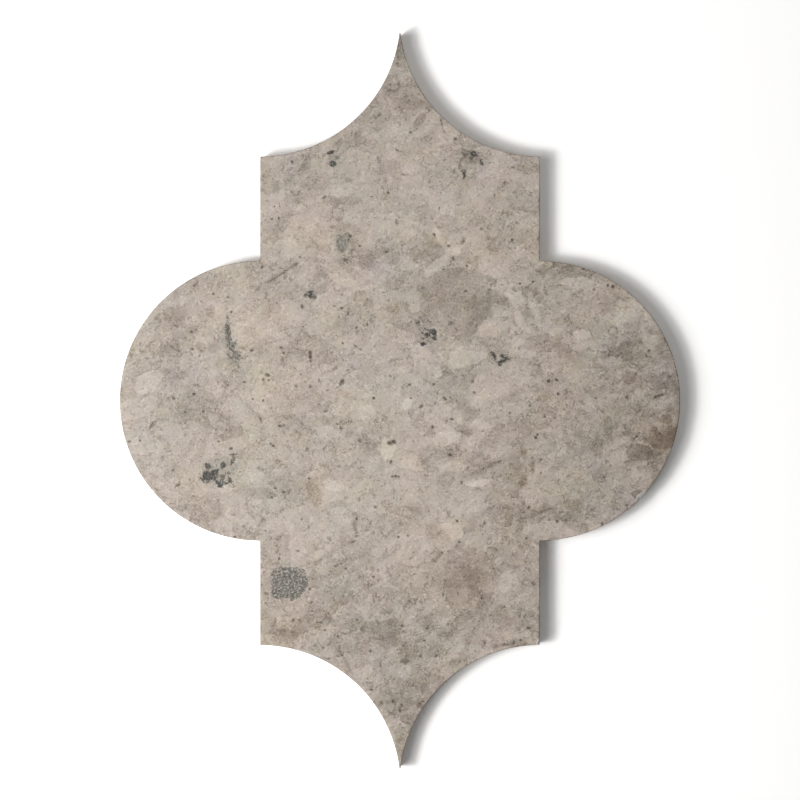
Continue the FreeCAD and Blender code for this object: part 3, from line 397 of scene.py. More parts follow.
# Hairlines: width, strength, then x and y of each point
HAIRLINES = (
    (0.5, 0.7, -55.6, 49.2, -53.9, 49.7, -49.8, 52.1, -46.5, 54.6, -42.3, 57.1),
    (0.6, 0.4, -25.3, -103.4, -23.2, -106.3, -21.2, -110.9, -19.1, -114.2),
    (0.6, 0.5, 3.7, -68.8, 7.5, -68.6, 10, -67.1, 12.9, -67.3),
    (0.9, 0.6, 12.9, -67.3, 15.3, -65.9, 17, -63.2),
    (0.7, 0.35, -17, -47.4, -19.1, -51.6, -17.4, -56.5),
    (0.6, 0.5, -4.1, 16.1, 0.4, 17.7),
    (0.4, 0.3, 19.9, -18.8, 32.4, -16.3),
    (0.4, 0.8, 17, 116.4, 17.6, 114, 18.5, 111.3),
    (0.5, 0.55, -6, 127.2, -4.8, 128.9, -1.7, 128.5, 0, 130.1, -0.4, 132),
    (0.4, 0.55, -95, 22.7, -93.4, 21.3, -91.6, 20.5, -90.6, 19.2),
    (0.4, 0.6, -48.9, 18, -48.1, 15.3),
    (0.5, 0.45, 19.5, -44.9, 19.9, -47.2, 21.2, -48.7, 22.4, -47.8),
    (0.8, 0.4, 29.9, -30, 33.2, -29.6, 36.1, -27.5, 41.5, -25),
    (0.8, 0.35, 99.5, 34.3, 98.3, 38.5, 94.6, 41.8, 89.2, 43.4),
    (0.4, 0.5, 39, -59.5, 40.2, -58.6),
    (0.4, 0.45, 39.4, -61.2, 40.7, -62.3),
    (0.5, 0.45, 11.2, -1.9, 13.3, -2, 14.7, -0.8),
    (0.9, 0.3, 0, -44.9, 1.7, -43.7, 5, -44.9, 8.3, -46.2),
    (0.9, 0.7, 39.4, -101.9, 43, -101.3, 46.5, -100.9),
    (0.9, 0.25, 58.5, -45.8, 66, -44),
    (0.5, 0.45, 24.5, 96.5, 24.9, 99.5, 27, 101.5),
)

# Shells cut across: x, y, diameter, width of the line and its strength
SHELLS = (
    (88.3, 28.9, 3.6, 0.55, 0.5), (-25.7, 77.4, 4.8, 0.55, 0.5), (-100.4, -35.8, 3, 0.5, 0.25),
    (4.6, 5.3, 3.3, 0.5, 0.22),
)

Place = tuple[float, float]
Colour = tuple[float, float, float, float]
Array = np.ndarray
Socket = bpy.types.NodeSocket
Outputs = bpy.types.bpy_prop_collection
Value = Socket | float
Tint = Socket | Colour


def metres(lengths: Array | float) -> Array | float:
    """Millimetres as metres."""
    return lengths * MM


def shade(red: int, green: int, blue: int) -> Colour:
    """The linear colour that a screen shows at levels v of 255: ((v / 255 + 0.055) / 1.055)^2.4."""
    parts = [((level / 255 + 0.055) / 1.055) ** 2.4 for level in (red, green, blue)]
    return (parts[0], parts[1], parts[2], 1.0)


def smoothstep(low: float, high: float, values: Array) -> Array:
    """Runs from 0 at low to 1 at high along 3t^2 - 2t^3, and stays level outside."""
    t = np.clip((values - low) / (high - low), 0.0, 1.0)
    return t * t * (3.0 - 2.0 * t)


def paired(numbers: Sequence[float]) -> tuple[Place, ...]:
    """Places from their x and y in turn."""
    return tuple(zip(numbers[::2], numbers[1::2]))


def distance_to_run(x: Array, y: Array, start: Place, end: Place) -> Array:
    """Distance from each place to the straight run between two points.

    Args:
        x: Places across.
        y: Places up.
        start: Where the run starts.
        end: Where it ends.

    Returns:
        One distance for each place.
    """
    run_x = end[0] - start[0]
    run_y = end[1] - start[1]
    share = ((x - start[0]) * run_x + (y - start[1]) * run_y) / (run_x**2 + run_y**2)
    share = np.clip(share, 0.0, 1.0)
    return np.hypot(x - start[0] - share * run_x, y - start[1] - share * run_y)


class Finish(Enum):
    """The three finishes, in the order of the mesh's material slots."""

    HONED = 0
    CUT = 1
    SAWN = 2


@dataclass(frozen=True)
class Drift:
    """Smooth noise over the plane, between -1 and 1, from a seeded lattice of random values."""

    seed: int
    cells: int = 128

    def at(self, x: Array, y: Array, size: float) -> Array:
        """Noise whose hills are about size across.

        Each lattice square blends its four corners' values by smooth steps across and up.

        Args:
            x: Places across.
            y: Places up.
            size: Lattice pitch, in the places' unit.

        Returns:
            One value for each place.
        """
        lattice = np.random.default_rng(self.seed).uniform(-1.0, 1.0, (self.cells, self.cells))
        u = x / size
        v = y / size
        i = np.floor(u).astype(int)
        j = np.floor(v).astype(int)
        s = smoothstep(0.0, 1.0, u - i)
        t = smoothstep(0.0, 1.0, v - j)
        i0 = i % self.cells
        i1 = (i + 1) % self.cells
        j0 = j % self.cells
        j1 = (j + 1) % self.cells
        low = lattice[i0, j0] * (1 - s) + lattice[i1, j0] * s
        high = lattice[i0, j1] * (1 - s) + lattice[i1, j1] * s
        return low * (1 - t) + high * t

    def rough(self, x: Array, y: Array, size: float) -> Array:
        """Three octaves of the noise, each half as large and half as strong as the last."""
        total = self.at(x, y, size) + 0.5 * self.at(x + 17.3, y - 9.1, size / 2)
        return (total + 0.25 * self.at(x - 5.7, y + 23.9, size / 4)) / 1.75


@dataclass(frozen=True)
class Outline:
    """The outline of the tile as cut, from the sizes of the pattern that it is laid in."""

    pattern_radius: float = 58.25
    joint: float = 0.5
    flank_length: float = 43.35
    notch_radius: float = 0.8
    tip_width: float = 0.4
    spacing: float = 0.42
    least_steps: int = 8

    @property
    def half_body(self) -> float:
        """Half the width between the two flanks, which is also a lobe's radius."""
        return self.pattern_radius - self.joint / 2

    @property
    def hollow_radius(self) -> float:
        """Radius of the four hollows that form the points."""
        return self.pattern_radius + self.joint / 2

    @property
    def hollow_y(self) -> float:
        """Height of a hollow's centre above the tile's middle."""
        return 2 * self.pattern_radius + self.flank_length

    @property
    def corner_y(self) -> float:
        """Height at which a flank ends and a hollow begins."""
        return self.hollow_y - math.sqrt(self.hollow_radius**2 - (self.joint / 2) ** 2)

    @property
    def tip_y(self) -> float:
        """Height at which a point ends."""
        reach = self.pattern_radius - self.tip_width / 2
        return self.hollow_y - math.sqrt(self.hollow_radius**2 - reach**2)

    @property
    def notch_centre(self) -> Place:
        """Centre of the round in the inside corner, which touches the flank and the lobe."""
        x = self.half_body + self.notch_radius
        return x, math.sqrt(x**2 - (x - self.pattern_radius) ** 2)

    def arc(self, centre: Place, radius: float, start: float, end: float) -> Array:
        """Points along an arc, without its last one.

        A point is the centre plus the radius times the cosine and sine of its angle.

        Args:
            centre: The arc's centre.
            radius: Its radius.
            start: First angle, in radians.
            end: Last angle, in radians.

        Returns:
            An array of points, one to a row.
        """
        steps = max(self.least_steps, math.ceil(abs(end - start) * radius / self.spacing))
        angle = start + (end - start) * np.arange(steps) / steps
        return np.stack([centre[0] + radius * np.cos(angle), centre[1] + radius * np.sin(angle)], axis=1)

    def quarter(self) -> Array:
        """A quarter of the outline: lobe, round of the inside corner, flank, hollow and tip.

        Returns:
            Points from the right lobe's furthest reach to the upper point, anticlockwise.
        """
        notch_x, notch_y = self.notch_centre
        meet = math.atan2(notch_y, notch_x - self.pattern_radius)
        corner_angle = math.atan2(self.corner_y - self.hollow_y, self.half_body - self.pattern_radius)
        tip_angle = math.atan2(self.tip_y - self.hollow_y, self.tip_width / 2 - self.pattern_radius)
        steps = math.ceil((self.corner_y - notch_y) / self.spacing)
        flank = notch_y + (self.corner_y - notch_y) * np.arange(steps) / steps
        hollow_centre = (self.pattern_radius, self.hollow_y)
        return np.concatenate([
            self.arc((self.pattern_radius, 0.0), self.half_body, 0.0, meet),
            self.arc((notch_x, notch_y), self.notch_radius, meet - math.pi, -math.pi),
            np.stack([np.full(steps, self.half_body), flank], axis=1),
            self.arc(hollow_centre, self.hollow_radius, corner_angle, tip_angle),
            [[self.tip_width / 2, self.tip_y]],
        ])

    def path(self) -> Array:
        """The whole outline: the quarter and its three mirror images.

        Returns:
            A closed run of points, anticlockwise from the right lobe.
        """
        right_top = self.quarter()
        left_top = (right_top * [-1, 1])[::-1]
        left_bottom = (right_top * [-1, -1])[1:]
        right_bottom = (right_top * [1, -1])[::-1][:-1]
        return np.concatenate([right_top, left_top, left_bottom, right_bottom])

    def outward(self, path: Array) -> Array:
        """Offset directions at the points of a closed anticlockwise path.

        It is the sum of the unit normals of the two edges that meet there, divided by one
        plus their dot product, so that an offset by it keeps both edges parallel.

        Args:
            path: The path's points.

        Returns:
            One direction for each point, longer than 1 at a corner.
        """
        along = np.roll(path, -1, axis=0) - path
        after = np.stack([along[:, 1], -along[:, 0]], axis=1)
        after /= np.linalg.norm(after, axis=1, keepdims=True)
        before = np.roll(after, 1, axis=0)
        return (before + after) / (1 + (before * after).sum(axis=1, keepdims=True))

    def depth(self, x: Array, y: Array) -> Array:
        """How far inside the outline each place lies, and negative outside.

        The tile is the body or a lobe, whichever reaches further, less the hollows and what
        lies past the points. Each of them is a distance to a line or to a circle.

        Args:
            x: Places across.
            y: Places up.

        Returns:
            One depth for each place.
        """
        across = np.abs(x)
        up = np.abs(y)
        body = across - self.half_body
        lobe = np.hypot(across - self.pattern_radius, up) - self.half_body
        hollow = self.hollow_radius - np.hypot(across - self.pattern_radius, up - self.hollow_y)
        return -np.maximum(np.maximum(np.minimum(body, lobe), hollow), up - self.tip_y)


@dataclass(frozen=True)
class Mark:
    """A leaning ellipse on the face: its middle, length and width, and its lean in degrees."""

    x: float
    y: float
    length: float
    width: float
    turn: float

    def reach(self, x: Array, y: Array) -> Array:
        """Distance from the middle, as a share of the way out to the ellipse.

        Args:
            x: Places across.
            y: Places up.

        Returns:
            One share for each place: 1 on the ellipse.
        """
        lean = math.radians(self.turn)
        along = (x - self.x) * math.cos(lean) + (y - self.y) * math.sin(lean)
        across = (y - self.y) * math.cos(lean) - (x - self.x) * math.sin(lean)
        return np.hypot(along / (self.length / 2), across / (self.width / 2))


@dataclass(frozen=True)
class Pore(Mark):
    """An open pit in the face with steep walls: how deep it is, and how dark the shade painted into it is.
    """

    drop: float
    shadow: float

    def mesh_points(self) -> Array:
        """The middle and the rings round it that the face's mesh needs, fewer for a small pore.

        Returns:
            An array of places, one to a row.
        """
        lean = math.radians(self.turn)
        rings = [np.zeros((1, 2))]
        small = ((0.7, 6), (1.4, 8))
        large = ((0.5, 6), (0.85, 9), (1.1, 11), (1.6, 11))
        for radius, count in small if self.length < 0.8 else large:
            angle = 2 * math.pi * (np.arange(count) + 0.5 * (count % 2)) / count
            rings.append(radius * np.stack([np.cos(angle), np.sin(angle)], axis=1))
        local = np.concatenate(rings) * [self.length / 2, self.width / 2]
        turned_x = local[:, 0] * math.cos(lean) - local[:, 1] * math.sin(lean)
        turned_y = local[:, 0] * math.sin(lean) + local[:, 1] * math.cos(lean)
        return np.stack([self.x + turned_x, self.y + turned_y], axis=1)


@dataclass(frozen=True)
class Patch(Mark):
    """Crystals, a dark or pale patch, a stain, or a wide change of tone that is partly painted light: how
    strong it is, and how soft and wandering its edge.
    """

    strength: float
    softness: float = 0.3
    wander: float = 0.3

    def inside(self, x: Array, y: Array) -> Array:
        """How far inside the ellipse each place lies across its short way, and negative outside."""
        return (1 - self.reach(x, y)) * min(self.length, self.width) / 2

    def cover(self, x: Array, y: Array, drift: Drift) -> Array:
        """How strongly the patch shows at each place.

        The distance from the middle is 1 at the ellipse, the noise moves that line in and
        out, and a smooth step takes the strength down across it.

        Args:
            x: Places across.
            y: Places up.
            drift: The noise that moves the edge.

        Returns:
            The strength in the middle, down to 0 outside.
        """
        reach = self.reach(x, y)
        near = reach < 1 + self.softness + self.wander
        hill = 0.35 * min(self.length, self.width) + 0.6
        edge = drift.rough(x[near] + 3.1 * self.x, y[near] - 2.3 * self.y, hill)
        covered = np.zeros(x.shape)
        wandered = reach[near] + self.wander * edge
        covered[near] = 1 - smoothstep(1 - self.softness, 1 + self.softness, wandered)
        return self.strength * covered


@dataclass(frozen=True)
class Shard:
    """A clast or shell fragment with a firm edge: a polygon that is flat in tone."""

    tone: float
    warmth: float
    softness: float
    corners: tuple[Place, ...]

    def inside(self, x: Array, y: Array) -> Array:
        """How far inside the polygon each place lies, and negative outside.

        Its size is the distance to the nearest side. A place is inside where the line from
        it towards +X crosses an odd number of sides.

        Args:
            x: Places across.
            y: Places up.

        Returns:
            One distance for each place.
        """
        nearest = np.full(x.shape, np.inf)
        odd = np.zeros(x.shape, bool)
        for start, end in zip(self.corners, self.corners[1:] + self.corners[:1]):
            nearest = np.minimum(nearest, distance_to_run(x, y, start, end))
            between = (start[1] > y) != (end[1] > y)
            climb = (end[1] - start[1]) or 1.0
            odd ^= between & (x < start[0] + (y - start[1]) * (end[0] - start[0]) / climb)
        return np.where(odd, nearest, -nearest)


@dataclass(frozen=True)
class Seam:
    """A hairline that healed in the stone and opened a little when it was honed."""

    points: tuple[Place, ...]
    width: float
    strength: float
    drop: float = 0.08

    def distance(self, x: Array, y: Array) -> Array:
        """Distance to the nearest of the seam's straight runs."""
        runs = zip(self.points[:-1], self.points[1:])
        return np.minimum.reduce([distance_to_run(x, y, start, end) for start, end in runs])

    def mesh_points(self) -> Array:
        """Rows of places along the seam, close enough to carry its width.

        Returns:
            An array of places, one to a row.
        """
        rows = []
        for (x0, y0), (x1, y1) in zip(self.points[:-1], self.points[1:]):
            length = math.hypot(x1 - x0, y1 - y0)
            share = np.arange(0.0, 1.0, 0.4 / length)[:, None]
            line = np.array([x0, y0]) + share * np.array([x1 - x0, y1 - y0])
            side = np.array([y0 - y1, x1 - x0]) / length
            rows += [line + side * offset * self.width for offset in (-1.6, -0.7, 0.0, 0.7, 1.6)]
        return np.concatenate(rows)


@dataclass(frozen=True)
class Ring:
    """A shell cut across by the face, which shows as a thin circle."""

    x: float
    y: float
    diameter: float
    width: float
    strength: float

    def off(self, x: Array, y: Array) -> Array:
        """Distance from the circle's line."""
        return np.abs(np.hypot(x - self.x, y - self.y) - self.diameter / 2)

    def cover(self, x: Array, y: Array) -> Array:
        """Strength on the circle's line, down to 0 at its width."""
        return self.strength * (1 - smoothstep(0.3 * self.width, self.width, self.off(x, y)))

    def mesh_points(self) -> Array:
        """Three rings of places, on the line and on both sides of it.

        Returns:
            An array of places, one to a row.
        """
        count = max(12, round(math.pi * self.diameter / 0.45))
        angle = 2 * math.pi * np.arange(count) / count
        circle = np.stack([np.cos(angle), np.sin(angle)], axis=1)
        radii = [self.diameter / 2 + offset * self.width for offset in (-1.1, 0.0, 1.1)]
        return np.concatenate([np.array([self.x, self.y]) + radius * circle for radius in radii])


@dataclass
class StoneFigure:
    """What this slab shows in its face: pores, grains, crystals, stains, seams and shells."""

    outline: Outline
    drift: Drift = Drift(11)
    small_pores: int = 300
    pore_seed: int = 5
    steepness: float = 0.25
    pit_scale: float = 1.03
    pit_shade: float = 0.88
    dark_gain: float = 1.35
    pale_gain: float = 1.7
    roll: float = 0.012
    crystal_drop: float = 0.06
    crystal_pitch: float = 0.48
    least_cover: float = 0.02
    pore_room: float = 1.9
    seam_room: float = 2.0
    ring_room: float = 1.4
    shard_steps: float = 4.0
    crystal_steps: float = 3.0
    pores: tuple[Pore, ...] = field(init=False)
    blotches_and_painted_light: tuple[Patch, ...] = field(init=False)
    shards: tuple[Shard, ...] = field(init=False)
    crystals: tuple[Patch, ...] = field(init=False)
    hazes: tuple[Patch, ...] = field(init=False)
    stains: tuple[Patch, ...] = field(init=False)
    warmths: tuple[Patch, ...] = field(init=False)
    seams: tuple[Seam, ...] = field(init=False)
    rings: tuple[Ring, ...] = field(init=False)

    def __post_init__(self) -> None:
        """Makes the marks from their tables."""
        size = self.pit_scale
        self.pores = tuple(
            Pore(x, y, size * length, size * width, turn, self.steepness * width, self.pit_shade * dark)
            for x, y, length, width, turn, dark in PITS
        )
        self.pores += self.scattered_pores()
        self.blotches_and_painted_light = tuple(Patch(*row[:5], self.toned(row[5]), 0.13, 0.32) for row in BLOTCHES)
        # the wide regions join the patches: partly the stone's own tone, partly painted light and shade
        self.blotches_and_painted_light += tuple(Patch(*row, 0.9, 0.1) for row in TONE_AND_LIGHT_REGIONS)
        self.shards = tuple(
            Shard(self.toned(tone), warmth, softness, paired(corners))
            for tone, warmth, softness, *corners in SHARDS
        )
        self.crystals = tuple(Patch(*row) for row in CRYSTALS)
        self.hazes = tuple(Patch(*row, 0.3, 0.4) for row in HAZES)
        self.stains = tuple(Patch(*row, 0.5, 0.4) for row in STAINS)
        self.warmths = tuple(Patch(*row, 0.6, 0.4) for row in WARMTHS)
        self.seams = tuple(Seam(paired(points), width, strength) for width, strength, *points in HAIRLINES)
        self.rings = tuple(Ring(*row) for row in SHELLS)

    def toned(self, tone: float) -> float:
        """A tone against the stone round it, times the gain of dark marks or of pale ones."""
        return tone * (self.dark_gain if tone < 0 else self.pale_gain)

    def scattered_pores(self) -> tuple[Pore, ...]:
        """Small pores strewn over the face at random, from a seed, most of them with faint painted shade.

        Returns:
            The pores.
        """
        rng = np.random.default_rng(self.pore_seed)
        x = rng.uniform(-116.0, 116.0, 3 * self.small_pores)
        y = rng.uniform(-152.0, 152.0, 3 * self.small_pores)
        inside = self.outline.depth(x, y) > 1.5
        places = np.stack([x[inside], y[inside]], axis=1)[: self.small_pores]
        length = 0.5 + 0.6 * rng.uniform(0.0, 1.0, len(places)) ** 2
        slim = rng.uniform(0.55, 1.0, len(places))
        turn = rng.uniform(-20.0, 70.0, len(places))
        # how dark the shade painted into each small pore is
        dark = rng.uniform(0.2, 0.75, len(places)) ** 1.5
        return tuple(
            Pore(px, py, size, size * share, lean, 0.2 * size, depth)
            for (px, py), size, share, lean, depth in zip(places.tolist(), length, slim, turn, dark)
        )

    def mesh_points(self) -> Array:
        """Every place that the pores, seams, shells and crystals need in the face's mesh.

        Returns:
            An array of places, one to a row.
        """
        marks = [mark.mesh_points() for mark in self.pores + self.seams + self.rings]
        marks += [self.crystal_points(patch) for patch in self.crystals]
        return np.concatenate(marks)

    def crystal_points(self, patch: Patch) -> Array:
        """A close grid of places over one cluster of crystals.

        Args:
            patch: The cluster.

        Returns:
            An array of places, one to a row.
        """
        half = 0.75 * max(patch.length, patch.width)
        steps = np.arange(-half, half, self.crystal_pitch)
        x, y = np.meshgrid(patch.x + steps, patch.y + steps)
        x[::2] += self.crystal_pitch / 2
        near = patch.cover(x, y, self.drift) > self.least_cover
        return np.stack([x[near], y[near]], axis=1)

    def crowded(self, x: Array, y: Array) -> Array:
        """Where a mark brings its own mesh points, so that the even grid keeps out.

        Args:
            x: Places across.
            y: Places up.

        Returns:
            True for each place that is too near a mark.
        """
        near = np.zeros(x.shape, bool)
        for pore in self.pores:
            near |= pore.reach(x, y) < self.pore_room
        for seam in self.seams:
            near |= seam.distance(x, y) < self.seam_room * seam.width
        for ring in self.rings:
            near |= ring.off(x, y) < self.ring_room * ring.width
        for patch in self.crystals:
            near |= patch.cover(x, y, self.drift) > self.least_cover
        return near

    def relief(self, x: Array, y: Array) -> Array:
        """How far the face lies under its own plane at each place.

        A pore falls by its drop inside its rim along a smooth step, a seam by its own drop
        over its width, crystals stand a little low and uneven, and the honed plane itself
        rolls by a few hundredths of a millimetre.

        Args:
            x: Places across.
            y: Places up.

        Returns:
            One depth for each place, never negative.
        """
        low = self.roll * (1 + self.drift.rough(x, y, 9.0))
        for seam in self.seams:
            low = low + seam.drop * (1 - smoothstep(0.2 * seam.width, seam.width, seam.distance(x, y)))
        uneven = 1 + self.drift.at(x, y, 0.7)
        low = low + self.crystal_drop * self.strongest(self.crystals, x, y) * uneven
        pit = np.zeros(x.shape)
        for pore in self.pores:
            pit = np.maximum(pit, pore.drop * (1 - smoothstep(0.55, 1.12, pore.reach(x, y))))
        return low + pit

    def marks(self, x: Array, y: Array) -> dict[str, Array]:
        """The strength of each kind of mark at each place, by the name of its mesh attribute.

        Args:
            x: Places across.
            y: Places up.

        Returns:
            An array for each of pore (the shade painted into the pits), warmth, haze, the dark and pale
            patches with wide changes of tone that are partly painted light and shade, stain and seam, three
            for the shards (how far inside the nearest one, its tone and its warmth) and two for the
            crystals (how far inside the nearest one and its strength).
        """
        # painted shade in the pits: full over the inner half, fading out a little past the rim
        pore = np.zeros(x.shape)
        for pit in self.pores:
            pore = np.maximum(pore, pit.shadow * (1 - smoothstep(0.55, 1.4, pit.reach(x, y))))
        seam = np.zeros(x.shape)
        for line in self.seams:
            fade = 1 - smoothstep(0.3 * line.width, 1.2 * line.width, line.distance(x, y))
            seam = np.maximum(seam, line.strength * fade)
        for ring in self.rings:
            seam = np.maximum(seam, ring.cover(x, y))
        within = np.full(x.shape, -self.shard_steps)
        tone = np.zeros(x.shape)
        warmth = np.zeros(x.shape)
        for shard in self.shards:
            steps = shard.inside(x, y) / shard.softness
            nearer = steps > within
            within[nearer] = steps[nearer]
            tone[nearer] = shard.tone
            warmth[nearer] = shard.warmth
        deep = np.full(x.shape, -self.crystal_steps)
        strength = np.zeros(x.shape)
        for crystal in self.crystals:
            steps = crystal.inside(x, y)
            nearer = steps > deep
            deep[nearer] = steps[nearer]
            strength[nearer] = crystal.strength
        return {
            "crystal": deep,
            "crystal depth": strength,
            "shard": np.minimum(within, self.shard_steps),
            "shard tone": tone,
            "shard warmth": warmth,
            "pore": pore,
            "warmth": sum(patch.cover(x, y, self.drift) for patch in self.warmths),
            "haze": self.strongest(self.hazes, x, y),
            "blotch_and_painted_light": sum(patch.cover(x, y, self.drift) for patch in self.blotches_and_painted_light),
            "stain": self.strongest(self.stains, x, y),
            "seam": seam,
        }

    def strongest(self, patches: tuple[Patch, ...], x: Array, y: Array) -> Array:
        """The strongest cover of any patch at each place, and at least 0."""
        covers = (patch.cover(x, y, self.drift) for patch in patches)
        return reduce(np.maximum, covers, np.zeros(x.shape))


@dataclass(frozen=True)
class Chip:
    """A flake lost from the arris: its place and length, how far it bites each way, how pale it is."""

    x: float
    y: float
    length: float
    inset: float
    drop: float
    pale: float = 0.0

    def bite(self, path: Array) -> Array:
        """Share of the flake at each point of the path, by a smooth step of the distance."""
        off = np.hypot(path[:, 0] - self.x, path[:, 1] - self.y) / (self.length / 2)
        return 1 - smoothstep(0.25, 1.0, off)


PLACED_CHIPS = (
    Chip(-57.8, 101.4, 3.2, 0.55, 0.5),
    Chip(57.8, -101.0, 3.6, 0.6, 0.8, 1.0),
    Chip(57.8, 101.4, 1.8, 0.4, 0.4),
    Chip(100.2, -39.9, 6.5, 0.75, 0.7, 1.0),
    Chip(76.3, 55.1, 1.8, 0.6, 0.6),
    Chip(13.8, -120.8, 1.6, 0.5, 0.5),
    Chip(-21.3, -114.2, 1.8, 0.5, 0.5),
    Chip(-86.0, 51.0, 2.6, 0.35, 0.3),
)


@dataclass
class Tile:
    """The tile as one closed mesh: honed face, cut edge with its worn arris, and sawn back."""

    figure: StoneFigure
    outline: Outline
    thickness: float = 10.0
    arris: float = 0.4
    back_ease: float = 0.12
    side_rows: int = 6
    jet_depth: float = 0.05
    jet_lag: float = 1.6
    face_pitch: float = 0.97
    back_pitch: float = 3.5
    edge_room: float = 0.35
    small_chips: int = 90
    chip_seed: int = 8
    worn_mean: float = 0.82
    worn_slow: float = 0.16
    worn_quick: float = 0.14
    tip_share: float = 0.42
    crease_angle: float = 38.0
    drift: Drift = Drift(23)
    chips: tuple[Chip, ...] = PLACED_CHIPS

    def all_chips(self, path: Array) -> tuple[Chip, ...]:
        """The flakes placed one by one, and small ones strewn along the path from a seed.

        Args:
            path: The outline's points.

        Returns:
            All flakes, the placed ones first.
        """
        rng = np.random.default_rng(self.chip_seed)
        places = path[rng.integers(0, len(path), self.small_chips)].tolist()
        length = rng.uniform(0.8, 2.4, self.small_chips)
        inset = rng.uniform(0.05, 0.35, self.small_chips) * rng.uniform(0.3, 1.0, self.small_chips)
        return self.chips + tuple(
            Chip(px, py, span, deep, 0.8 * deep)
            for (px, py), span, deep in zip(places, length, inset)
        )

    def arris_shape(self, path: Array, outward: Array) -> tuple[Array, Array, Array]:
        """How far the arris reaches over the face and down the edge, at each point.

        Both are the ground bevel times a slow and a quick noise. A flake adds to the depth
        and pushes the arris inward, every point of it the same way, so that none cross at
        a corner. Near a tip of the tile all stays within half of what stone there is.

        Args:
            path: The outline's points.
            outward: Their offset directions.

        Returns:
            The reach over the face, the reach down the edge, and the flakes' push.
        """
        x = path[:, 0]
        y = path[:, 1]
        worn = self.worn_mean + self.worn_slow * self.drift.at(x, y, 7.0)
        worn = worn + self.worn_quick * self.drift.at(x + 50, y, 1.1)
        inset = self.arris * worn
        drop = self.arris * (worn + 0.1 * self.drift.at(x, y + 50, 2.3))
        push = np.zeros(path.shape)
        for chip in self.all_chips(path):
            bite = chip.bite(path) * (1 + 0.25 * self.drift.at(x - 30, y, 1.4))
            way = outward[np.hypot(x - chip.x, y - chip.y).argmin()]
            push += chip.inset * bite[:, None] * way / np.linalg.norm(way)
            drop = drop + chip.drop * bite
        room = np.where(np.abs(y) > self.outline.corner_y + 8, self.tip_share * np.abs(x), 2.5)
        inset = np.minimum(inset, room)
        share = np.clip((room - inset) / np.maximum(np.linalg.norm(push, axis=1), 1e-6), 0.0, 1.0)
        return inset, np.minimum(drop, 2.0 * room), push * share[:, None]

    def jet_mark(self, run: Array, height: Array) -> Array:
        """How far the jet cut into the edge: upright streaks that trail and deepen downwards.

        It is smooth noise of the run along the edge, shifted by the square of the depth
        below the face, times a depth that grows from the face to the back.

        Args:
            run: Distance along the outline, for each point.
            height: Height above the back, for each point.

        Returns:
            The inward depth of the streaks.
        """
        below = 1 - height / self.thickness
        trail = run + self.jet_lag * below**2
        wave = 0.6 * self.drift.at(trail, 0.12 * height, 1.5)
        wave = wave + 0.4 * self.drift.at(trail, 9 + 0.1 * height, 3.4)
        return self.jet_depth * (0.25 + 0.75 * below) * (0.5 + 0.5 * wave)

    def rim(self) -> Array:
        """The edge of the tile: its profile carried along the outline.

        The profile starts on the back, rounds its lower corner, climbs the cut edge with
        the jet's streaks, crosses the arris and ends on the face. A place is the outline's
        point less its offset direction times the profile's inset there.

        Returns:
            Points by station along the outline and row of the profile.
        """
        path = self.outline.path()
        outward = self.outline.outward(path)
        step = np.linalg.norm(np.roll(path, -1, axis=0) - path, axis=1)
        run = np.concatenate([[0.0], np.cumsum(step)[:-1]])
        inset, drop, push = self.arris_shape(path, outward)
        ease = np.minimum(self.back_ease, self.tip_share * np.abs(path[:, 0]))
        ease = np.where(np.abs(path[:, 1]) > self.outline.corner_y, ease, self.back_ease)
        top = self.thickness - drop
        insets = [ease]
        pushes = [0.0 * push] * (self.side_rows + 2)
        heights = [np.zeros(len(path))]
        for row in range(self.side_rows + 1):
            height = self.back_ease + (top - self.back_ease) * row / self.side_rows
            insets.append(np.minimum(self.jet_mark(run, height), 0.5 * inset))
            heights.append(height)
        for over, lost, under in ((0.2, 0.3, 0.75), (0.72, 0.8, 0.22), (1.0, 1.0, 0.0)):
            insets.append(np.maximum(over * inset, insets[self.side_rows + 1]))
            pushes.append(lost * push)
            heights.append(self.thickness - under * drop)
        offsets = np.stack(insets, axis=1)[..., None]
        flat = path[:, None, :] - outward[:, None, :] * offsets - np.stack(pushes, axis=1)
        return np.concatenate([flat, np.stack(heights, axis=1)[..., None]], axis=2)

    def even_grid(self, pitch: float, least_depth: float, seed: int) -> Array:
        """Places inside the outline, on rows of a triangular grid with a slight jitter.

        Args:
            pitch: Distance between neighbours.
            least_depth: How far inside the outline they all lie.
            seed: Seed of the jitter.

        Returns:
            An array of places, one to a row.
        """
        reach_x = self.outline.pattern_radius + self.outline.half_body
        across = np.arange(-reach_x, reach_x, pitch)
        up = np.arange(-self.outline.tip_y, self.outline.tip_y, pitch * math.sqrt(0.75))
        x, y = np.meshgrid(across, up)
        x[::2] += pitch / 2
        jitter = np.random.default_rng(seed).normal(0.0, 0.06 * pitch, (2, *x.shape))
        x = (x + jitter[0]).ravel()
        y = (y + jitter[1]).ravel()
        inside = self.outline.depth(x, y) > least_depth
        return np.stack([x[inside], y[inside]], axis=1)

    def clear_of_edge(self, places: Array, loop: Array, path: Array) -> Array:
        """Drops the places that lie past the arris or its flakes.

        A place stays if it is deeper inside the outline than the nearest point of the loop
        by the edge room.

        Args:
            places: Places inside the outline.
            loop: The face's own edge, inside the arris.
            path: The outline's points, matched to the loop's.

        Returns:
            The places that stay.
        """
        depth = self.outline.depth(places[:, 0], places[:, 1])
        inset = np.linalg.norm(loop - path, axis=1)
        close = np.flatnonzero(depth < inset.max() + self.edge_room)
        apart = np.linalg.norm(places[close, None, :] - path[None, :, :], axis=2)
        needed = inset[apart.argmin(axis=1)] + self.edge_room
        keep = np.ones(len(places), bool)
        keep[close] = depth[close] > needed
        return places[keep]

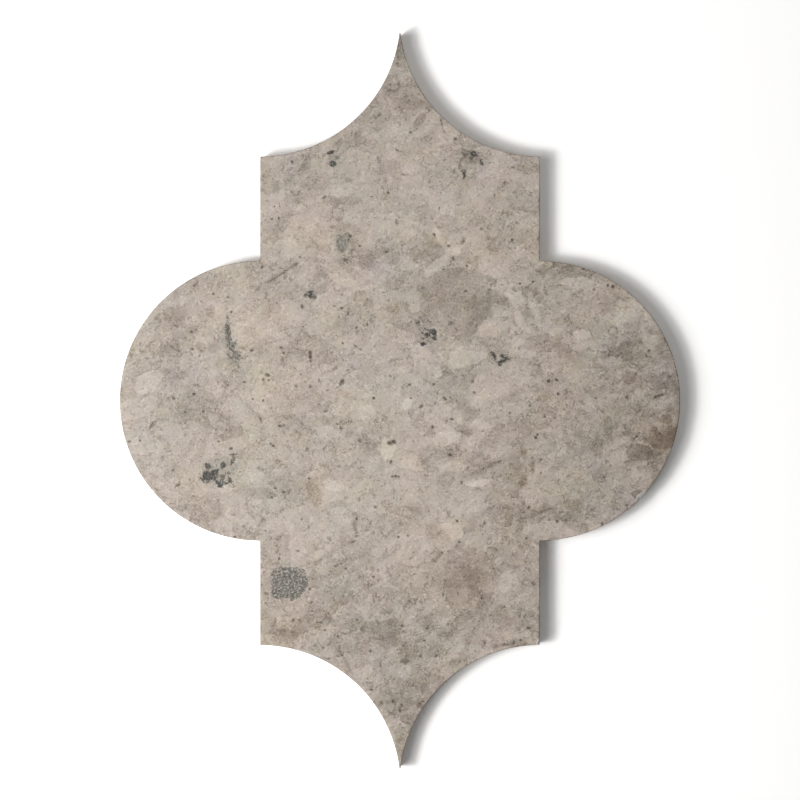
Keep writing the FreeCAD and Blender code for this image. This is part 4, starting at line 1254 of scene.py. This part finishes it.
    def filled(self, loop: Array, inner: Array) -> Array:
        """Triangles that fill a loop through every inner place, by Delaunay's rule.

        Args:
            loop: The loop's points, anticlockwise.
            inner: Places inside it.

        Returns:
            Corner numbers of the triangles, counted through the loop and then the places.
        """
        places = np.concatenate([loop, inner])
        ends = np.arange(len(loop))
        edges = np.stack([ends, np.roll(ends, -1)], axis=1)
        found, _, faces, _, _, _ = delaunay_2d_cdt(places.tolist(), edges.tolist(), [], 1, 1e-7)
        if len(found) != len(places):
            raise ValueError(f"{len(places)} places went in and {len(found)} came back")
        return np.array(faces)

    def build(self) -> bpy.types.Object:
        """Makes the mesh, its attributes and its three regions of finish.

        Returns:
            The tile's object, with its place in its mesh.
        """
        rim = self.rim()
        stations, rows, _ = rim.shape
        path = self.outline.path()
        numbers = np.arange(stations * rows).reshape(stations, rows)
        face_loop = rim[:, -1, :2]
        face_inner = self.face_places(face_loop, path)
        back_loop = rim[:, 0, :2]
        back_inner = self.even_grid(self.back_pitch, self.back_pitch / 2, 3)
        face_z = self.thickness - self.figure.relief(face_inner[:, 0], face_inner[:, 1])
        points = np.concatenate([
            rim.reshape(-1, 3),
            np.column_stack([face_inner, face_z]),
            np.column_stack([back_inner, np.zeros(len(back_inner))]),
        ])
        first_face = stations * rows
        first_back = first_face + len(face_inner)
        face_numbers = np.concatenate([numbers[:, -1], first_face + np.arange(len(face_inner))])
        back_numbers = np.concatenate([numbers[:, 0], first_back + np.arange(len(back_inner))])
        face = face_numbers[self.filled(face_loop, face_inner)]
        back = back_numbers[self.filled(back_loop, back_inner)][:, ::-1]
        ahead = np.roll(numbers, -1, axis=0)
        quads = np.stack([numbers[:, :-1], ahead[:, :-1], ahead[:, 1:], numbers[:, 1:]], axis=2)
        cut = quads[:, : self.side_rows + 1].reshape(-1, 4)
        arris = quads[:, self.side_rows + 1 :].reshape(-1, 4)
        finishes = [Finish.CUT, Finish.HONED, Finish.HONED, Finish.SAWN]
        mesh = self.meshed(points, [cut, arris, face, back], finishes)
        self.mark(mesh, points, numbers)
        piece = bpy.data.objects.new(PIECE, mesh)
        bpy.context.scene.collection.objects.link(piece)
        triangles = len(mesh.loops) - 2 * len(mesh.polygons)
        LOG.info("%s: %d points, %d triangles", piece.name, len(mesh.vertices), triangles)
        return piece

    def face_places(self, loop: Array, path: Array) -> Array:
        """The face's inner places: an even grid, and closer ones where the stone is marked.

        Args:
            loop: The face's own edge, inside the arris.
            path: The outline's points, matched to the loop's.

        Returns:
            An array of places, one to a row.
        """
        grid = self.even_grid(self.face_pitch, self.edge_room, 2)
        grid = grid[~self.figure.crowded(grid[:, 0], grid[:, 1])]
        marked = self.figure.mesh_points()
        marked = marked[self.outline.depth(marked[:, 0], marked[:, 1]) > self.edge_room]
        places = np.unique(np.round(np.concatenate([grid, marked]), 4), axis=0)
        return self.clear_of_edge(places, loop, path)

    def meshed(self, points: Array, parts: list[Array], finishes: list[Finish]) -> bpy.types.Mesh:
        """A mesh from points and faces, smooth but for its sharp corners.

        Args:
            points: The points, in millimetres.
            parts: Faces as corner numbers, one array for each region.
            finishes: The finish of each region.

        Returns:
            The mesh, in metres.
        """
        mesh = bpy.data.meshes.new(PIECE)
        mesh.vertices.add(len(points))
        mesh.vertices.foreach_set("co", metres(points).astype(np.float32).ravel())
        corners = np.concatenate([part.ravel() for part in parts])
        sides = np.concatenate([np.full(len(part), part.shape[1]) for part in parts])
        slots = np.concatenate([np.full(len(part), kind.value) for part, kind in zip(parts, finishes)])
        mesh.loops.add(len(corners))
        mesh.loops.foreach_set("vertex_index", corners.astype(np.int32))
        mesh.polygons.add(len(sides))
        starts = np.concatenate([[0], np.cumsum(sides)[:-1]])
        mesh.polygons.foreach_set("loop_start", starts.astype(np.int32))
        mesh.polygons.foreach_set("material_index", slots.astype(np.int32))
        mesh.polygons.foreach_set("use_smooth", np.ones(len(sides), bool))
        mesh.update(calc_edges=True)
        mesh.validate()
        mesh.set_sharp_from_angle(angle=math.radians(self.crease_angle))
        return mesh

    def mark(self, mesh: bpy.types.Mesh, points: Array, numbers: Array) -> None:
        """Writes the stone's marks, and the arris's wear and painted shade, into the mesh, one attribute
        each.

        Args:
            mesh: The tile's mesh.
            points: Its points, in millimetres.
            numbers: The rim's point numbers, by station and row.
        """
        marks = self.figure.marks(points[:, 0], points[:, 1])
        # weight along the arris rows: it darkens their colour, partly wear and partly painted shade of the
        # edge, and roughens them
        arris_wear_and_shade = np.zeros(len(points))
        arris_wear_and_shade[numbers[:, self.side_rows + 1 :]] = [1.0, 0.9, 0.6, 0.0]
        marks["arris_wear_and_shade"] = arris_wear_and_shade
        marks["fresh"] = np.zeros(len(points))
        for chip in self.chips:
            rim_bite = chip.pale * chip.bite(points[numbers[:, self.side_rows + 1], :2])
            marks["fresh"][numbers[:, self.side_rows + 1 :]] += rim_bite[:, None] * [0.7, 1.0, 1.0, 0.9]
        for name, values in marks.items():
            layer = mesh.attributes.new(name, "FLOAT", "POINT")
            layer.data.foreach_set("value", values.astype(np.float32))


class Sheet:
    """Adds nodes to one node tree and wires them."""

    def __init__(self, tree: bpy.types.NodeTree) -> None:
        """Keeps the tree and starts with an empty layout."""
        self.tree = tree
        self.count = 0

    def node(self, kind: str, **settings: object) -> bpy.types.Node:
        """A new node, set beside the last one.

        Args:
            kind: The node's type.
            **settings: Its settings, by name.

        Returns:
            The node.
        """
        made = self.tree.nodes.new(kind)
        for name, value in settings.items():
            setattr(made, name, value)
        made.location = (200 * (self.count % 12), -260 * (self.count // 12))
        self.count += 1
        return made

    def feed(self, socket: Socket, value: object) -> None:
        """Wires a socket to another socket, or sets it to a plain value.

        Args:
            socket: The input that is fed.
            value: An output of another node, or the value.
        """
        if isinstance(value, Socket):
            self.tree.links.new(value, socket)
        else:
            socket.default_value = value

    def fed(self, made: bpy.types.Node, *values: object) -> Socket:
        """Feeds a node's inputs in their order.

        Args:
            made: The node.
            *values: What goes into its inputs, from the first one on.

        Returns:
            Its first output.
        """
        for socket, value in zip(made.inputs, values):
            self.feed(socket, value)
        return made.outputs[0]

    def named(self, made: bpy.types.Node, **values: object) -> Outputs:
        """Feeds a node's inputs by their names.

        Args:
            made: The node.
            **values: What goes into its inputs, by name.

        Returns:
            Its outputs.
        """
        for name, value in values.items():
            self.feed(made.inputs[name], value)
        return made.outputs

    def math(self, operation: str, a: Value, b: Value = 0.0) -> Socket:
        """The result of a Math node on one or two values."""
        return self.fed(self.node("ShaderNodeMath", operation=operation), a, b)

    def total(self, *terms: Value) -> Socket:
        """The sum of several values."""
        return reduce(partial(self.math, "ADD"), terms)

    def product(self, *factors: Value) -> Socket:
        """The product of several values."""
        return reduce(partial(self.math, "MULTIPLY"), factors)

    def vector(self, operation: str, a: object, b: object) -> Socket:
        """The result of a Vector Math node on two vectors."""
        return self.fed(self.node("ShaderNodeVectorMath", operation=operation), a, b)

    def scaled(self, vector: Socket, factor: Value) -> Socket:
        """A vector times one factor.

        Args:
            vector: The vector.
            factor: The factor.

        Returns:
            The longer or shorter vector.
        """
        made = self.node("ShaderNodeVectorMath", operation="SCALE")
        self.feed(made.inputs["Scale"], factor)
        return self.fed(made, vector)

    def turned(self, vector: Socket, turn: float, stretch: Sequence[float]) -> Socket:
        """A vector turned about Z and then scaled along each axis.

        Args:
            vector: The vector.
            turn: The turn in degrees.
            stretch: A factor for each axis.

        Returns:
            The vector after both.
        """
        lean = self.node("ShaderNodeVectorRotate", rotation_type="Z_AXIS")
        leant = self.named(lean, Vector=vector, Angle=math.radians(turn))[0]
        return self.vector("MULTIPLY", leant, tuple(stretch))

    def step(self, value: Value, low: float, high: float, start: float = 0.0, end: float = 1.0) -> Socket:
        """A smooth step of a value, from start at low to end at high."""
        made = self.node("ShaderNodeMapRange", interpolation_type="SMOOTHSTEP")
        return self.fed(made, value, low, high, start, end)

    def centred(self, value: Socket, strength: Value) -> Socket:
        """A value less one half, times a strength."""
        return self.math("MULTIPLY", self.math("SUBTRACT", value, 0.5), strength)

    def strayed(self, colour: Socket, strength: float) -> Socket:
        """A colour less mid grey, times a strength."""
        return self.scaled(self.vector("SUBTRACT", colour, (0.5, 0.5, 0.5)), strength)

    def noise(self, vector: Socket, size: float, detail: float = 2.0, roughness: float = 0.5) -> Outputs:
        """The outputs of a Noise Texture node whose hills are about size across."""
        made = self.node("ShaderNodeTexNoise", noise_dimensions="3D")
        return self.named(made, Vector=vector, Scale=1.0 / size, Detail=detail, Roughness=roughness)

    def waver(
        self, strength: Value, vector: Socket, size: float, detail: float = 2.0, roughness: float = 0.5,
    ) -> Socket:
        """Noise less one half, times a strength."""
        return self.centred(self.noise(vector, size, detail, roughness)["Fac"], strength)

    def cells(self, vector: Socket, size: float) -> Outputs:
        """The outputs of a Voronoi Texture node whose cells are about size across."""
        made = self.node("ShaderNodeTexVoronoi", voronoi_dimensions="3D")
        return self.named(made, Vector=vector, Scale=1.0 / size)

    def channel(self, colour: Socket, index: int = 0) -> Socket:
        """One channel of a colour.

        Args:
            colour: The colour.
            index: 0 for red, 1 for green or 2 for blue.

        Returns:
            The channel's value.
        """
        made = self.node("ShaderNodeSeparateColor")
        self.fed(made, colour)
        return made.outputs[index]

    def blend(self, factor: Value, under: Tint, over: Tint) -> Socket:
        """Two colours mixed by a factor.

        Args:
            factor: 0 for the colour under, 1 for the one over it.
            under: The first colour.
            over: The second colour.

        Returns:
            The mixed colour.
        """
        made = self.node("ShaderNodeMix", data_type="RGBA")
        self.feed(made.inputs[0], factor)
        self.feed(made.inputs[6], under)
        self.feed(made.inputs[7], over)
        return made.outputs[2]

    def ramp(self, value: Value, stops: Sequence[tuple[float, Colour]]) -> Socket:
        """A colour from a value.

        Args:
            value: The value.
            stops: Positions and their colours, the lowest and the highest first.

        Returns:
            The colour.
        """
        made = self.node("ShaderNodeValToRGB")
        elements = made.color_ramp.elements
        for index, (position, colour) in enumerate(stops):
            element = elements[index] if index < 2 else elements.new(position)
            element.position = position
            element.color = colour
        return self.fed(made, value)

    def attribute(self, name: str) -> Socket:
        """The value of a mesh attribute."""
        made = self.node("ShaderNodeAttribute", attribute_type="GEOMETRY", attribute_name=name)
        return made.outputs["Fac"]

    def object_place(self) -> Socket:
        """Object coordinates in millimetres."""
        return self.scaled(self.node("ShaderNodeTexCoord").outputs["Object"], 1 / MM)

    def placed(self, group: bpy.types.NodeTree, **values: object) -> Outputs:
        """The outputs of a node group, with its inputs fed by name."""
        return self.named(self.node("ShaderNodeGroup", node_tree=group), **values)


@dataclass(frozen=True)
class FigureGroup:
    """The limestone's own figure in the round: clouds, mottles, fibres and broken clasts.

    Tone is 0 for plain matrix, above it where the stone is paler and below where it is darker.
    Tint is a colour near white that the stone's own colour is multiplied by.
    """

    cloud: float = 0.14
    mottle: float = 0.22
    fibres: float = 0.22
    strokes: tuple[float, float] = (-0.20, 0.16)
    clasts: tuple[tuple[float, float, float], ...] = (
        (13.0, 36.0, 0.07), (6.5, -22.0, 0.08), (3.2, 40.0, 0.07),
    )
    tint: float = 0.13
    quirk: float = 0.10

    def build(self) -> bpy.types.NodeTree:
        """Makes the group, with a Vector input in millimetres and the outputs Tone and Tint.

        Returns:
            The group.
        """
        tree = bpy.data.node_groups.new("limestone figure", "ShaderNodeTree")
        tree.interface.new_socket("Vector", in_out="INPUT", socket_type="NodeSocketVector")
        tree.interface.new_socket("Tone", in_out="OUTPUT", socket_type="NodeSocketFloat")
        tree.interface.new_socket("Tint", in_out="OUTPUT", socket_type="NodeSocketColor")
        sheet = Sheet(tree)
        place = sheet.node("NodeGroupInput").outputs["Vector"]
        slow = sheet.strayed(sheet.noise(place, 5.0, 1.0)["Color"], 3.2)
        quick = sheet.strayed(sheet.noise(place, 1.1, 1.0)["Color"], 0.9)
        bent = sheet.vector("ADD", sheet.vector("ADD", place, slow), quick)
        cloud = sheet.noise(place, 20.0, 3.0, 0.6)
        mottle = sheet.noise(bent, 2.8, 2.0, 0.6)
        fibre = sheet.noise(sheet.turned(bent, -36.0, (0.3, 1.15, 0.6)), 1.1, 1.0, 0.8)
        fibrous = sheet.step(sheet.channel(cloud["Color"], 1), 0.44, 0.58, 0.15, self.fibres)
        tones = [
            sheet.centred(cloud["Fac"], self.cloud),
            sheet.centred(mottle["Fac"], self.mottle),
            sheet.centred(fibre["Fac"], fibrous),
        ]
        worms = sheet.noise(bent, 3.0, 1.0, 0.6)["Color"]
        shown = sheet.step(sheet.channel(mottle["Color"], 2), 0.46, 0.58)
        for index, strength in enumerate(self.strokes):
            off = sheet.math("ABSOLUTE", sheet.centred(sheet.channel(worms, index), 1.0))
            tones.append(sheet.product(sheet.step(off, 0.08, 0.01), shown, strength))
        for size, lean, strength in self.clasts:
            cell = sheet.cells(sheet.turned(bent, -lean, (0.62, 1.15, 1.0)), size)
            odd = sheet.channel(cell["Color"])
            dark = sheet.step(odd, 0.42, 0.10, 0.0, -strength)
            pale = sheet.step(odd, 0.62, 0.95, 0.0, 0.9 * strength)
            tones += [dark, pale]
        hue = sheet.strayed(cloud["Color"], self.tint)
        quirk = sheet.noise(sheet.vector("ADD", bent, (40.0, 0.0, 0.0)), 4.2, 2.0, 0.7)["Color"]
        hue = sheet.vector("ADD", hue, sheet.strayed(quirk, self.quirk))
        hue = sheet.vector("MULTIPLY", hue, (0.9, 0.5, 1.7))
        end = sheet.node("NodeGroupOutput")
        sheet.named(end, Tone=sheet.total(*tones), Tint=sheet.vector("ADD", hue, (1.0, 1.0, 1.0)))
        return tree


@dataclass(frozen=True)
class GritGroup:
    """Fine grit: the grain of the lime mud, and specks that are darker or paler than it."""

    grain: float = 0.56

    def build(self) -> bpy.types.NodeTree:
        """Makes the group, with a Vector input and Grain, Dark and Pale outputs.

        Returns:
            The group.
        """
        tree = bpy.data.node_groups.new("limestone grit", "ShaderNodeTree")
        tree.interface.new_socket("Vector", in_out="INPUT", socket_type="NodeSocketVector")
        for name in ("Grain", "Dark", "Pale"):
            tree.interface.new_socket(name, in_out="OUTPUT", socket_type="NodeSocketFloat")
        sheet = Sheet(tree)
        place = sheet.node("NodeGroupInput").outputs["Vector"]
        grain = sheet.noise(place, 0.85, 1.0, 1.0)["Fac"]
        coarse = sheet.step(sheet.noise(place, 5.0)["Fac"], 0.38, 0.62, 0.55, 1.3)
        masks = []
        for size, share, radius in ((1.5, 0.72, 0.24), (0.95, 0.70, 0.30)):
            cell = sheet.cells(place, size)
            chosen = sheet.step(sheet.channel(cell["Color"]), share, share + 0.3)
            gap = sheet.math("SUBTRACT", sheet.product(chosen, radius), cell["Distance"])
            masks.append(sheet.step(gap, -0.14, 0.08))
        end = sheet.node("NodeGroupOutput")
        grain = sheet.centred(grain, sheet.product(coarse, self.grain))
        sheet.named(end, Grain=grain, Dark=masks[0], Pale=masks[1])
        return tree


@dataclass(frozen=True)
class StonePaint:
    """The limestone's colours, from darkest to palest, and those of what lies in it."""

    dark: Colour = shade(113, 102, 90)
    dusky: Colour = shade(154, 142, 129)
    matrix: Colour = shade(187, 175, 163)
    cream: Colour = shade(207, 195, 182)
    chalk: Colour = shade(224, 214, 203)
    # painted shade inside the pits
    hollow: Colour = shade(78, 68, 57)
    slate: Colour = shade(47, 47, 47)
    mineral: Colour = shade(105, 102, 93)
    glint: Colour = shade(186, 184, 176)
    iron: Colour = shade(118, 98, 76)
    fresh: Colour = shade(222, 217, 209)
    warm: tuple[float, float, float] = (0.032, 0.0, -0.022)

    def warming(self, sheet: Sheet) -> Socket:
        """How far a warmth of 1 raises red and lowers blue."""
        return sheet.fed(sheet.node("ShaderNodeCombineXYZ"), *self.warm)

    def stops(self) -> list[tuple[float, Colour]]:
        """Ramp stops over the tone, with plain matrix at one half."""
        between = [(0.25, self.dusky), (0.5, self.matrix), (0.75, self.cream)]
        return [(0.0, self.dark), (1.0, self.chalk), *between]


class StoneSheet(Sheet):
    """The nodes of one material of the limestone: its figure and grit first, its shader last."""

    def __init__(self, name: str, figure: bpy.types.NodeTree, grit: bpy.types.NodeTree) -> None:
        """Makes the material and places both groups in it."""
        self.material = bpy.data.materials.new(name)
        self.material.use_nodes = True
        self.material.node_tree.nodes.clear()
        super().__init__(self.material.node_tree)
        self.place = self.object_place()
        self.figure = self.placed(figure, Vector=self.place)
        self.grit = self.placed(grit, Vector=self.place)

    def finished(
        self, colour: Tint, roughness: Value, height: Value, strength: float, depth: float,
    ) -> bpy.types.Material:
        """Closes the material with its shader.

        Args:
            colour: The stone's colour.
            roughness: Its roughness.
            height: What the bump follows.
            strength: The bump's strength.
            depth: Its depth in millimetres.

        Returns:
            The material.
        """
        shader = self.node("ShaderNodeBsdfPrincipled")
        bump = self.node("ShaderNodeBump")
        end = self.node("ShaderNodeOutputMaterial")
        shader.inputs["IOR"].default_value = 1.48
        bump.inputs["Strength"].default_value = strength
        bump.inputs["Distance"].default_value = metres(depth)
        self.feed(bump.inputs["Height"], height)
        self.feed(shader.inputs["Base Color"], colour)
        self.feed(shader.inputs["Roughness"], roughness)
        self.feed(shader.inputs["Normal"], bump.outputs[0])
        self.feed(end.inputs["Surface"], shader.outputs[0])
        return self.material


@dataclass(frozen=True)
class Limestone:
    """What the three finishes share: their colours, the figure and the grit."""

    paint: StonePaint
    figure: bpy.types.NodeTree
    grit: bpy.types.NodeTree

    def sheet(self, name: str) -> StoneSheet:
        """The nodes of a new material, with the figure and the grit in place."""
        return StoneSheet(name, self.figure, self.grit)


class HonedStone(Limestone):
    """The honed face: smooth and matt, with every mark of the slab open to view."""

    def build(self) -> bpy.types.Material:
        """Makes the material.

        Returns:
            The material.
        """
        sheet = self.sheet("honed limestone")
        place = sheet.place
        grit = sheet.grit
        arris_wear_and_shade = sheet.attribute("arris_wear_and_shade")
        pore = sheet.attribute("pore")
        shard = self.shard_mask(sheet, place)
        outside = sheet.math("SUBTRACT", 1.0, shard)
        edging = sheet.waver(2.8, place, 4.5, 1.0)
        tone = sheet.total(
            0.5,
            sheet.product(sheet.figure["Tone"], sheet.math("SUBTRACT", 1.0, sheet.product(shard, 0.35))),
            grit["Grain"],
            sheet.product(shard, sheet.attribute("shard tone")),
            sheet.product(shard, outside, edging),
            # dark and pale patches, with wide changes of tone that are partly painted light and shade
            sheet.attribute("blotch_and_painted_light"),
            sheet.product(grit["Dark"], -0.22),
            sheet.product(grit["Pale"], 0.10),
            sheet.product(sheet.attribute("seam"), -0.45),
            # darker along the arris: partly wear, partly painted shade
            sheet.product(arris_wear_and_shade, -0.16),
        )
        colour = sheet.vector("MULTIPLY", sheet.ramp(tone, self.paint.stops()), sheet.figure["Tint"])
        warmth = sheet.product(shard, sheet.attribute("shard warmth"))
        colour = self.warmed(sheet, colour, sheet.total(sheet.attribute("warmth"), warmth))
        colour = self.stained(sheet, colour, place)
        crystals, colour = self.crystallised(sheet, colour, place)
        # painted shade in the pits: the pore attribute darkens the colour towards the hollow colour
        colour = sheet.blend(sheet.product(pore, 0.95), colour, self.paint.hollow)
        colour = sheet.blend(sheet.attribute("fresh"), colour, self.paint.fresh)
        roughness = sheet.total(
            0.52, sheet.product(sheet.figure["Tone"], 0.25), sheet.product(pore, 0.35),
            sheet.product(arris_wear_and_shade, 0.2), sheet.product(crystals, -0.12),
        )
        height = sheet.centred(sheet.math("SUBTRACT", grit["Grain"], grit["Dark"]), 0.9)
        return sheet.finished(colour, roughness, height, 0.8, 0.09)

    def warmed(self, sheet: Sheet, colour: Tint, warmth: Value) -> Socket:
        """The colour with more red and less blue, as far as the warmth says."""
        warm = sheet.scaled(self.paint.warming(sheet), warmth)
        return sheet.vector("MULTIPLY", colour, sheet.vector("ADD", warm, (1.0, 1.0, 1.0)))

    def shard_mask(self, sheet: Sheet, place: Socket) -> Socket:
        """1 inside the firm-edged clasts and 0 outside, along an edge that noise makes ragged."""
        ragged = sheet.waver(2.6, place, 1.1, 2.0, 0.65)
        return sheet.step(sheet.math("ADD", sheet.attribute("shard"), ragged), -0.8, 0.8)

    def stained(self, sheet: Sheet, colour: Tint, place: Socket) -> Socket:
        """Adds the brown of iron where the stain attribute is strong and the noise lets it in.

        Args:
            sheet: The material's nodes.
            colour: The colour so far.
            place: Object coordinates in millimetres.

        Returns:
            The colour with the stains.
        """
        spread = sheet.step(sheet.noise(place, 2.2, 4.0, 0.7)["Fac"], 0.3, 0.62)
        depth = sheet.product(sheet.attribute("stain"), spread, 0.85)
        return sheet.blend(depth, colour, self.paint.iron)

    def crystallised(self, sheet: Sheet, colour: Tint, place: Socket) -> tuple[Socket, Socket]:
        """Adds grey crystals, darker and denser where the crystal attribute is strong.

        Args:
            sheet: The material's nodes.
            colour: The stone's colour so far.
            place: Object coordinates in millimetres.

        Returns:
            The crystals' mask, and the colour with them.
        """
        haze = sheet.attribute("haze")
        colour = sheet.blend(sheet.product(haze, 0.4), colour, self.paint.mineral)
        broken = sheet.waver(2.6, place, 1.3, 3.0, 0.85)
        solid = sheet.step(sheet.math("ADD", sheet.attribute("crystal"), broken), -0.36, 0.08)
        strewn = sheet.step(sheet.total(haze, sheet.product(broken, 0.8)), 0.5, 0.8)
        depth = sheet.attribute("crystal depth")
        shown = sheet.product(solid, sheet.step(depth, 0.0, 0.9, 0.3, 0.95))
        mask = sheet.math("MAXIMUM", shown, sheet.product(strewn, 0.5))
        grains = sheet.waver(2.1, place, 1.1, 3.0, 0.95)
        glints = sheet.step(sheet.noise(place, 0.75, 0.0)["Fac"], 0.60, 0.72, 0.0, 0.25)
        faint = sheet.product(sheet.math("SUBTRACT", 0.9, depth), 0.6)
        level = sheet.total(grains, glints, faint, 0.34)
        stops = [(0.18, self.paint.slate), (0.82, self.paint.glint), (0.50, self.paint.mineral)]
        tinge = sheet.waver(9.0, place, 3.2, 1.0)
        crystal = self.warmed(sheet, sheet.ramp(level, stops), sheet.math("ADD", tinge, 0.5))
        return mask, sheet.blend(mask, colour, crystal)


class CutStone(Limestone):
    """The edge that the jet cut: paler than the face, gritty, with fine trailing streaks."""

    def build(self) -> bpy.types.Material:
        """Makes the material.

        Returns:
            The material.
        """
        sheet = self.sheet("jet-cut limestone")
        grit = sheet.grit
        upright = sheet.vector("MULTIPLY", sheet.place, (1.0, 1.0, 0.12))
        streaks = sheet.noise(upright, 0.7, 3.0, 0.6)["Fac"]
        tone = sheet.total(
            0.52,
            sheet.product(sheet.figure["Tone"], 0.8),
            grit["Grain"],
            sheet.centred(streaks, 0.22),
            sheet.product(grit["Dark"], -0.25),
            sheet.product(grit["Pale"], 0.1),
        )
        colour = sheet.ramp(tone, self.paint.stops())
        roughness = sheet.total(0.78, sheet.centred(streaks, 0.2))
        return sheet.finished(colour, roughness, sheet.total(streaks, grit["Grain"]), 0.9, 0.2)


class SawnStone(Limestone):
    """The sawn back: dull and dusty, with the shallow sweeps of the saw's blade."""

    def build(self) -> bpy.types.Material:
        """Makes the material.

        Returns:
            The material.
        """
        sheet = self.sheet("sawn limestone")
        grit = sheet.grit
        sweep = sheet.node("ShaderNodeVectorMath", operation="LENGTH")
        sheet.feed(sweep.inputs[0], sheet.vector("SUBTRACT", sheet.place, (-420.0, 90.0, 0.0)))
        wander = sheet.waver(3.0, sheet.place, 30.0)
        marks = sheet.math("SINE", sheet.total(sheet.product(sweep.outputs["Value"], 2.4), wander))
        tone = sheet.total(
            0.56,
            sheet.product(sheet.figure["Tone"], 0.7),
            grit["Grain"],
            sheet.product(marks, 0.025),
            sheet.product(grit["Dark"], -0.22),
        )
        colour = sheet.ramp(tone, self.paint.stops())
        roughness = sheet.total(0.82, sheet.centred(grit["Grain"], 0.1))
        height = sheet.total(sheet.product(marks, 0.4), grit["Grain"])
        return sheet.finished(colour, roughness, height, 0.8, 0.1)


@dataclass(frozen=True)
class Lamp:
    """A round area lamp: its bearing and elevation in degrees, its distance, width and level."""

    name: str
    azimuth: float
    elevation: float
    distance: float
    size: float
    level: float


@dataclass(frozen=True)
class Studio:
    """The pale floor, the wide key lamp from the left, the weak ones behind it and the camera above."""

    face_height: float = 10.0
    picture_width: float = 331.84
    camera_height: float = 1200.0
    centre_y: float = 0.29
    key: Lamp = Lamp("key lamp", 198.0, 53.0, 900.0, 700.0, 0.53)
    core: Lamp = Lamp("key lamp's bright middle", 198.0, 53.0, 900.0, 200.0, 0.22)
    back: Lamp = Lamp("back lamp", 72.0, 17.0, 700.0, 420.0, 0.042)
    fill_level: float = 0.175
    floor_white: Colour = (1.38, 1.375, 1.36, 1.0)
    floor_size: float = 6000.0
    lit_floor: tuple[float, float] = (260.0, 520.0)

    def build(self) -> None:
        """Makes the floor, the world, the lamps and the camera."""
        self.floor()
        self.world()
        self.hang(self.key)
        self.hang(self.core)
        self.hang(self.back)
        self.camera()

    def floor(self) -> None:
        """A wide flat floor that the tile rests on, white to the camera and pale to light."""
        half = metres(self.floor_size) / 2
        mesh = bpy.data.meshes.new("floor")
        corners = [(-half, -half, 0.0), (half, -half, 0.0), (half, half, 0.0), (-half, half, 0.0)]
        mesh.from_pydata(corners, [], [(0, 1, 2, 3)])
        floor = bpy.data.objects.new("floor", mesh)
        bpy.context.scene.collection.objects.link(floor)
        mesh.materials.append(self.floor_paint())

    def floor_paint(self) -> bpy.types.Material:
        """Matt paint that is brighter for the camera's rays, and plain white to them far off.

        Returns:
            The material.
        """
        material = bpy.data.materials.new("pale floor")
        material.use_nodes = True
        material.node_tree.nodes.clear()
        sheet = Sheet(material.node_tree)
        path = sheet.node("ShaderNodeLightPath")
        seen = sheet.math("MAXIMUM", path.outputs["Is Camera Ray"], path.outputs["Is Glossy Ray"])
        shader = sheet.node("ShaderNodeBsdfDiffuse")
        sheet.feed(shader.inputs["Color"], sheet.blend(seen, shade(185, 184, 182), self.floor_white))
        white = sheet.node("ShaderNodeEmission")
        reach = sheet.node("ShaderNodeVectorMath", operation="LENGTH")
        sheet.feed(reach.inputs[0], sheet.object_place())
        far = sheet.step(reach.outputs["Value"], *self.lit_floor)
        mix = sheet.node("ShaderNodeMixShader")
        shown = sheet.product(far, path.outputs["Is Camera Ray"])
        sheet.fed(mix, shown, shader.outputs[0], white.outputs[0])
        end = sheet.node("ShaderNodeOutputMaterial")
        sheet.feed(end.inputs["Surface"], mix.outputs[0])
        return material

    def world(self) -> None:
        """An even sky that fills the shade, and shows as white behind the floor."""
        world = bpy.data.worlds.new("studio")
        bpy.context.scene.world = world
        world.use_nodes = True
        world.node_tree.nodes.clear()
        sheet = Sheet(world.node_tree)
        path = sheet.node("ShaderNodeLightPath")
        strength = sheet.step(path.outputs["Is Camera Ray"], 0.0, 1.0, self.fill_level, 1.0)
        sky = sheet.node("ShaderNodeBackground")
        sky.inputs["Color"].default_value = (1.0, 1.0, 1.0, 1.0)
        sheet.feed(sky.inputs["Strength"], strength)
        end = sheet.node("ShaderNodeOutputWorld")
        sheet.feed(end.inputs["Surface"], sky.outputs[0])

    def hang(self, lamp: Lamp) -> None:
        """Hangs a lamp so that it faces the tile.

        Its power is pi squared times the distance squared times the level, over the sine of
        its elevation, which lights a level white surface to that level.

        Args:
            lamp: The lamp.
        """
        around = math.radians(lamp.azimuth)
        up = math.radians(lamp.elevation)
        away = Vector((math.cos(around) * math.cos(up), math.sin(around) * math.cos(up), math.sin(up)))
        distance = metres(lamp.distance)
        data = bpy.data.lights.new(lamp.name, "AREA")
        data.shape = "DISK"
        data.size = metres(lamp.size)
        data.energy = math.pi**2 * distance**2 * lamp.level / math.sin(up)
        hung = bpy.data.objects.new(lamp.name, data)
        hung.location = away * distance
        hung.rotation_euler = away.to_track_quat("Z", "Y").to_euler()
        bpy.context.scene.collection.objects.link(hung)

    def camera(self) -> None:
        """A long lens straight above, whose frame is the picture's width at the face."""
        data = bpy.data.cameras.new("camera")
        data.sensor_width = 36.0
        data.lens = data.sensor_width * self.camera_height / self.picture_width
        data.clip_end = 100.0
        camera = bpy.data.objects.new("camera", data)
        camera.location = (0.0, metres(self.centre_y), metres(self.face_height + self.camera_height))
        bpy.context.scene.collection.objects.link(camera)
        bpy.context.scene.camera = camera


def main() -> None:
    """Builds the tile, dresses it and sets the studio."""
    logging.basicConfig(level=logging.INFO, format="%(name)s: %(message)s")
    scene = bpy.context.scene
    scene.view_settings.view_transform = "Standard"
    outline = Outline()
    figure = StoneFigure(outline)
    piece = Tile(figure, outline).build()
    figure_group = FigureGroup().build()
    grit_group = GritGroup().build()
    paint = StonePaint()
    for finish in (HonedStone, CutStone, SawnStone):
        piece.data.materials.append(finish(paint, figure_group, grit_group).build())
    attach(piece, "root")
    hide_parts(NODE)
    Studio().build()


if __name__ == "__main__":
    main()
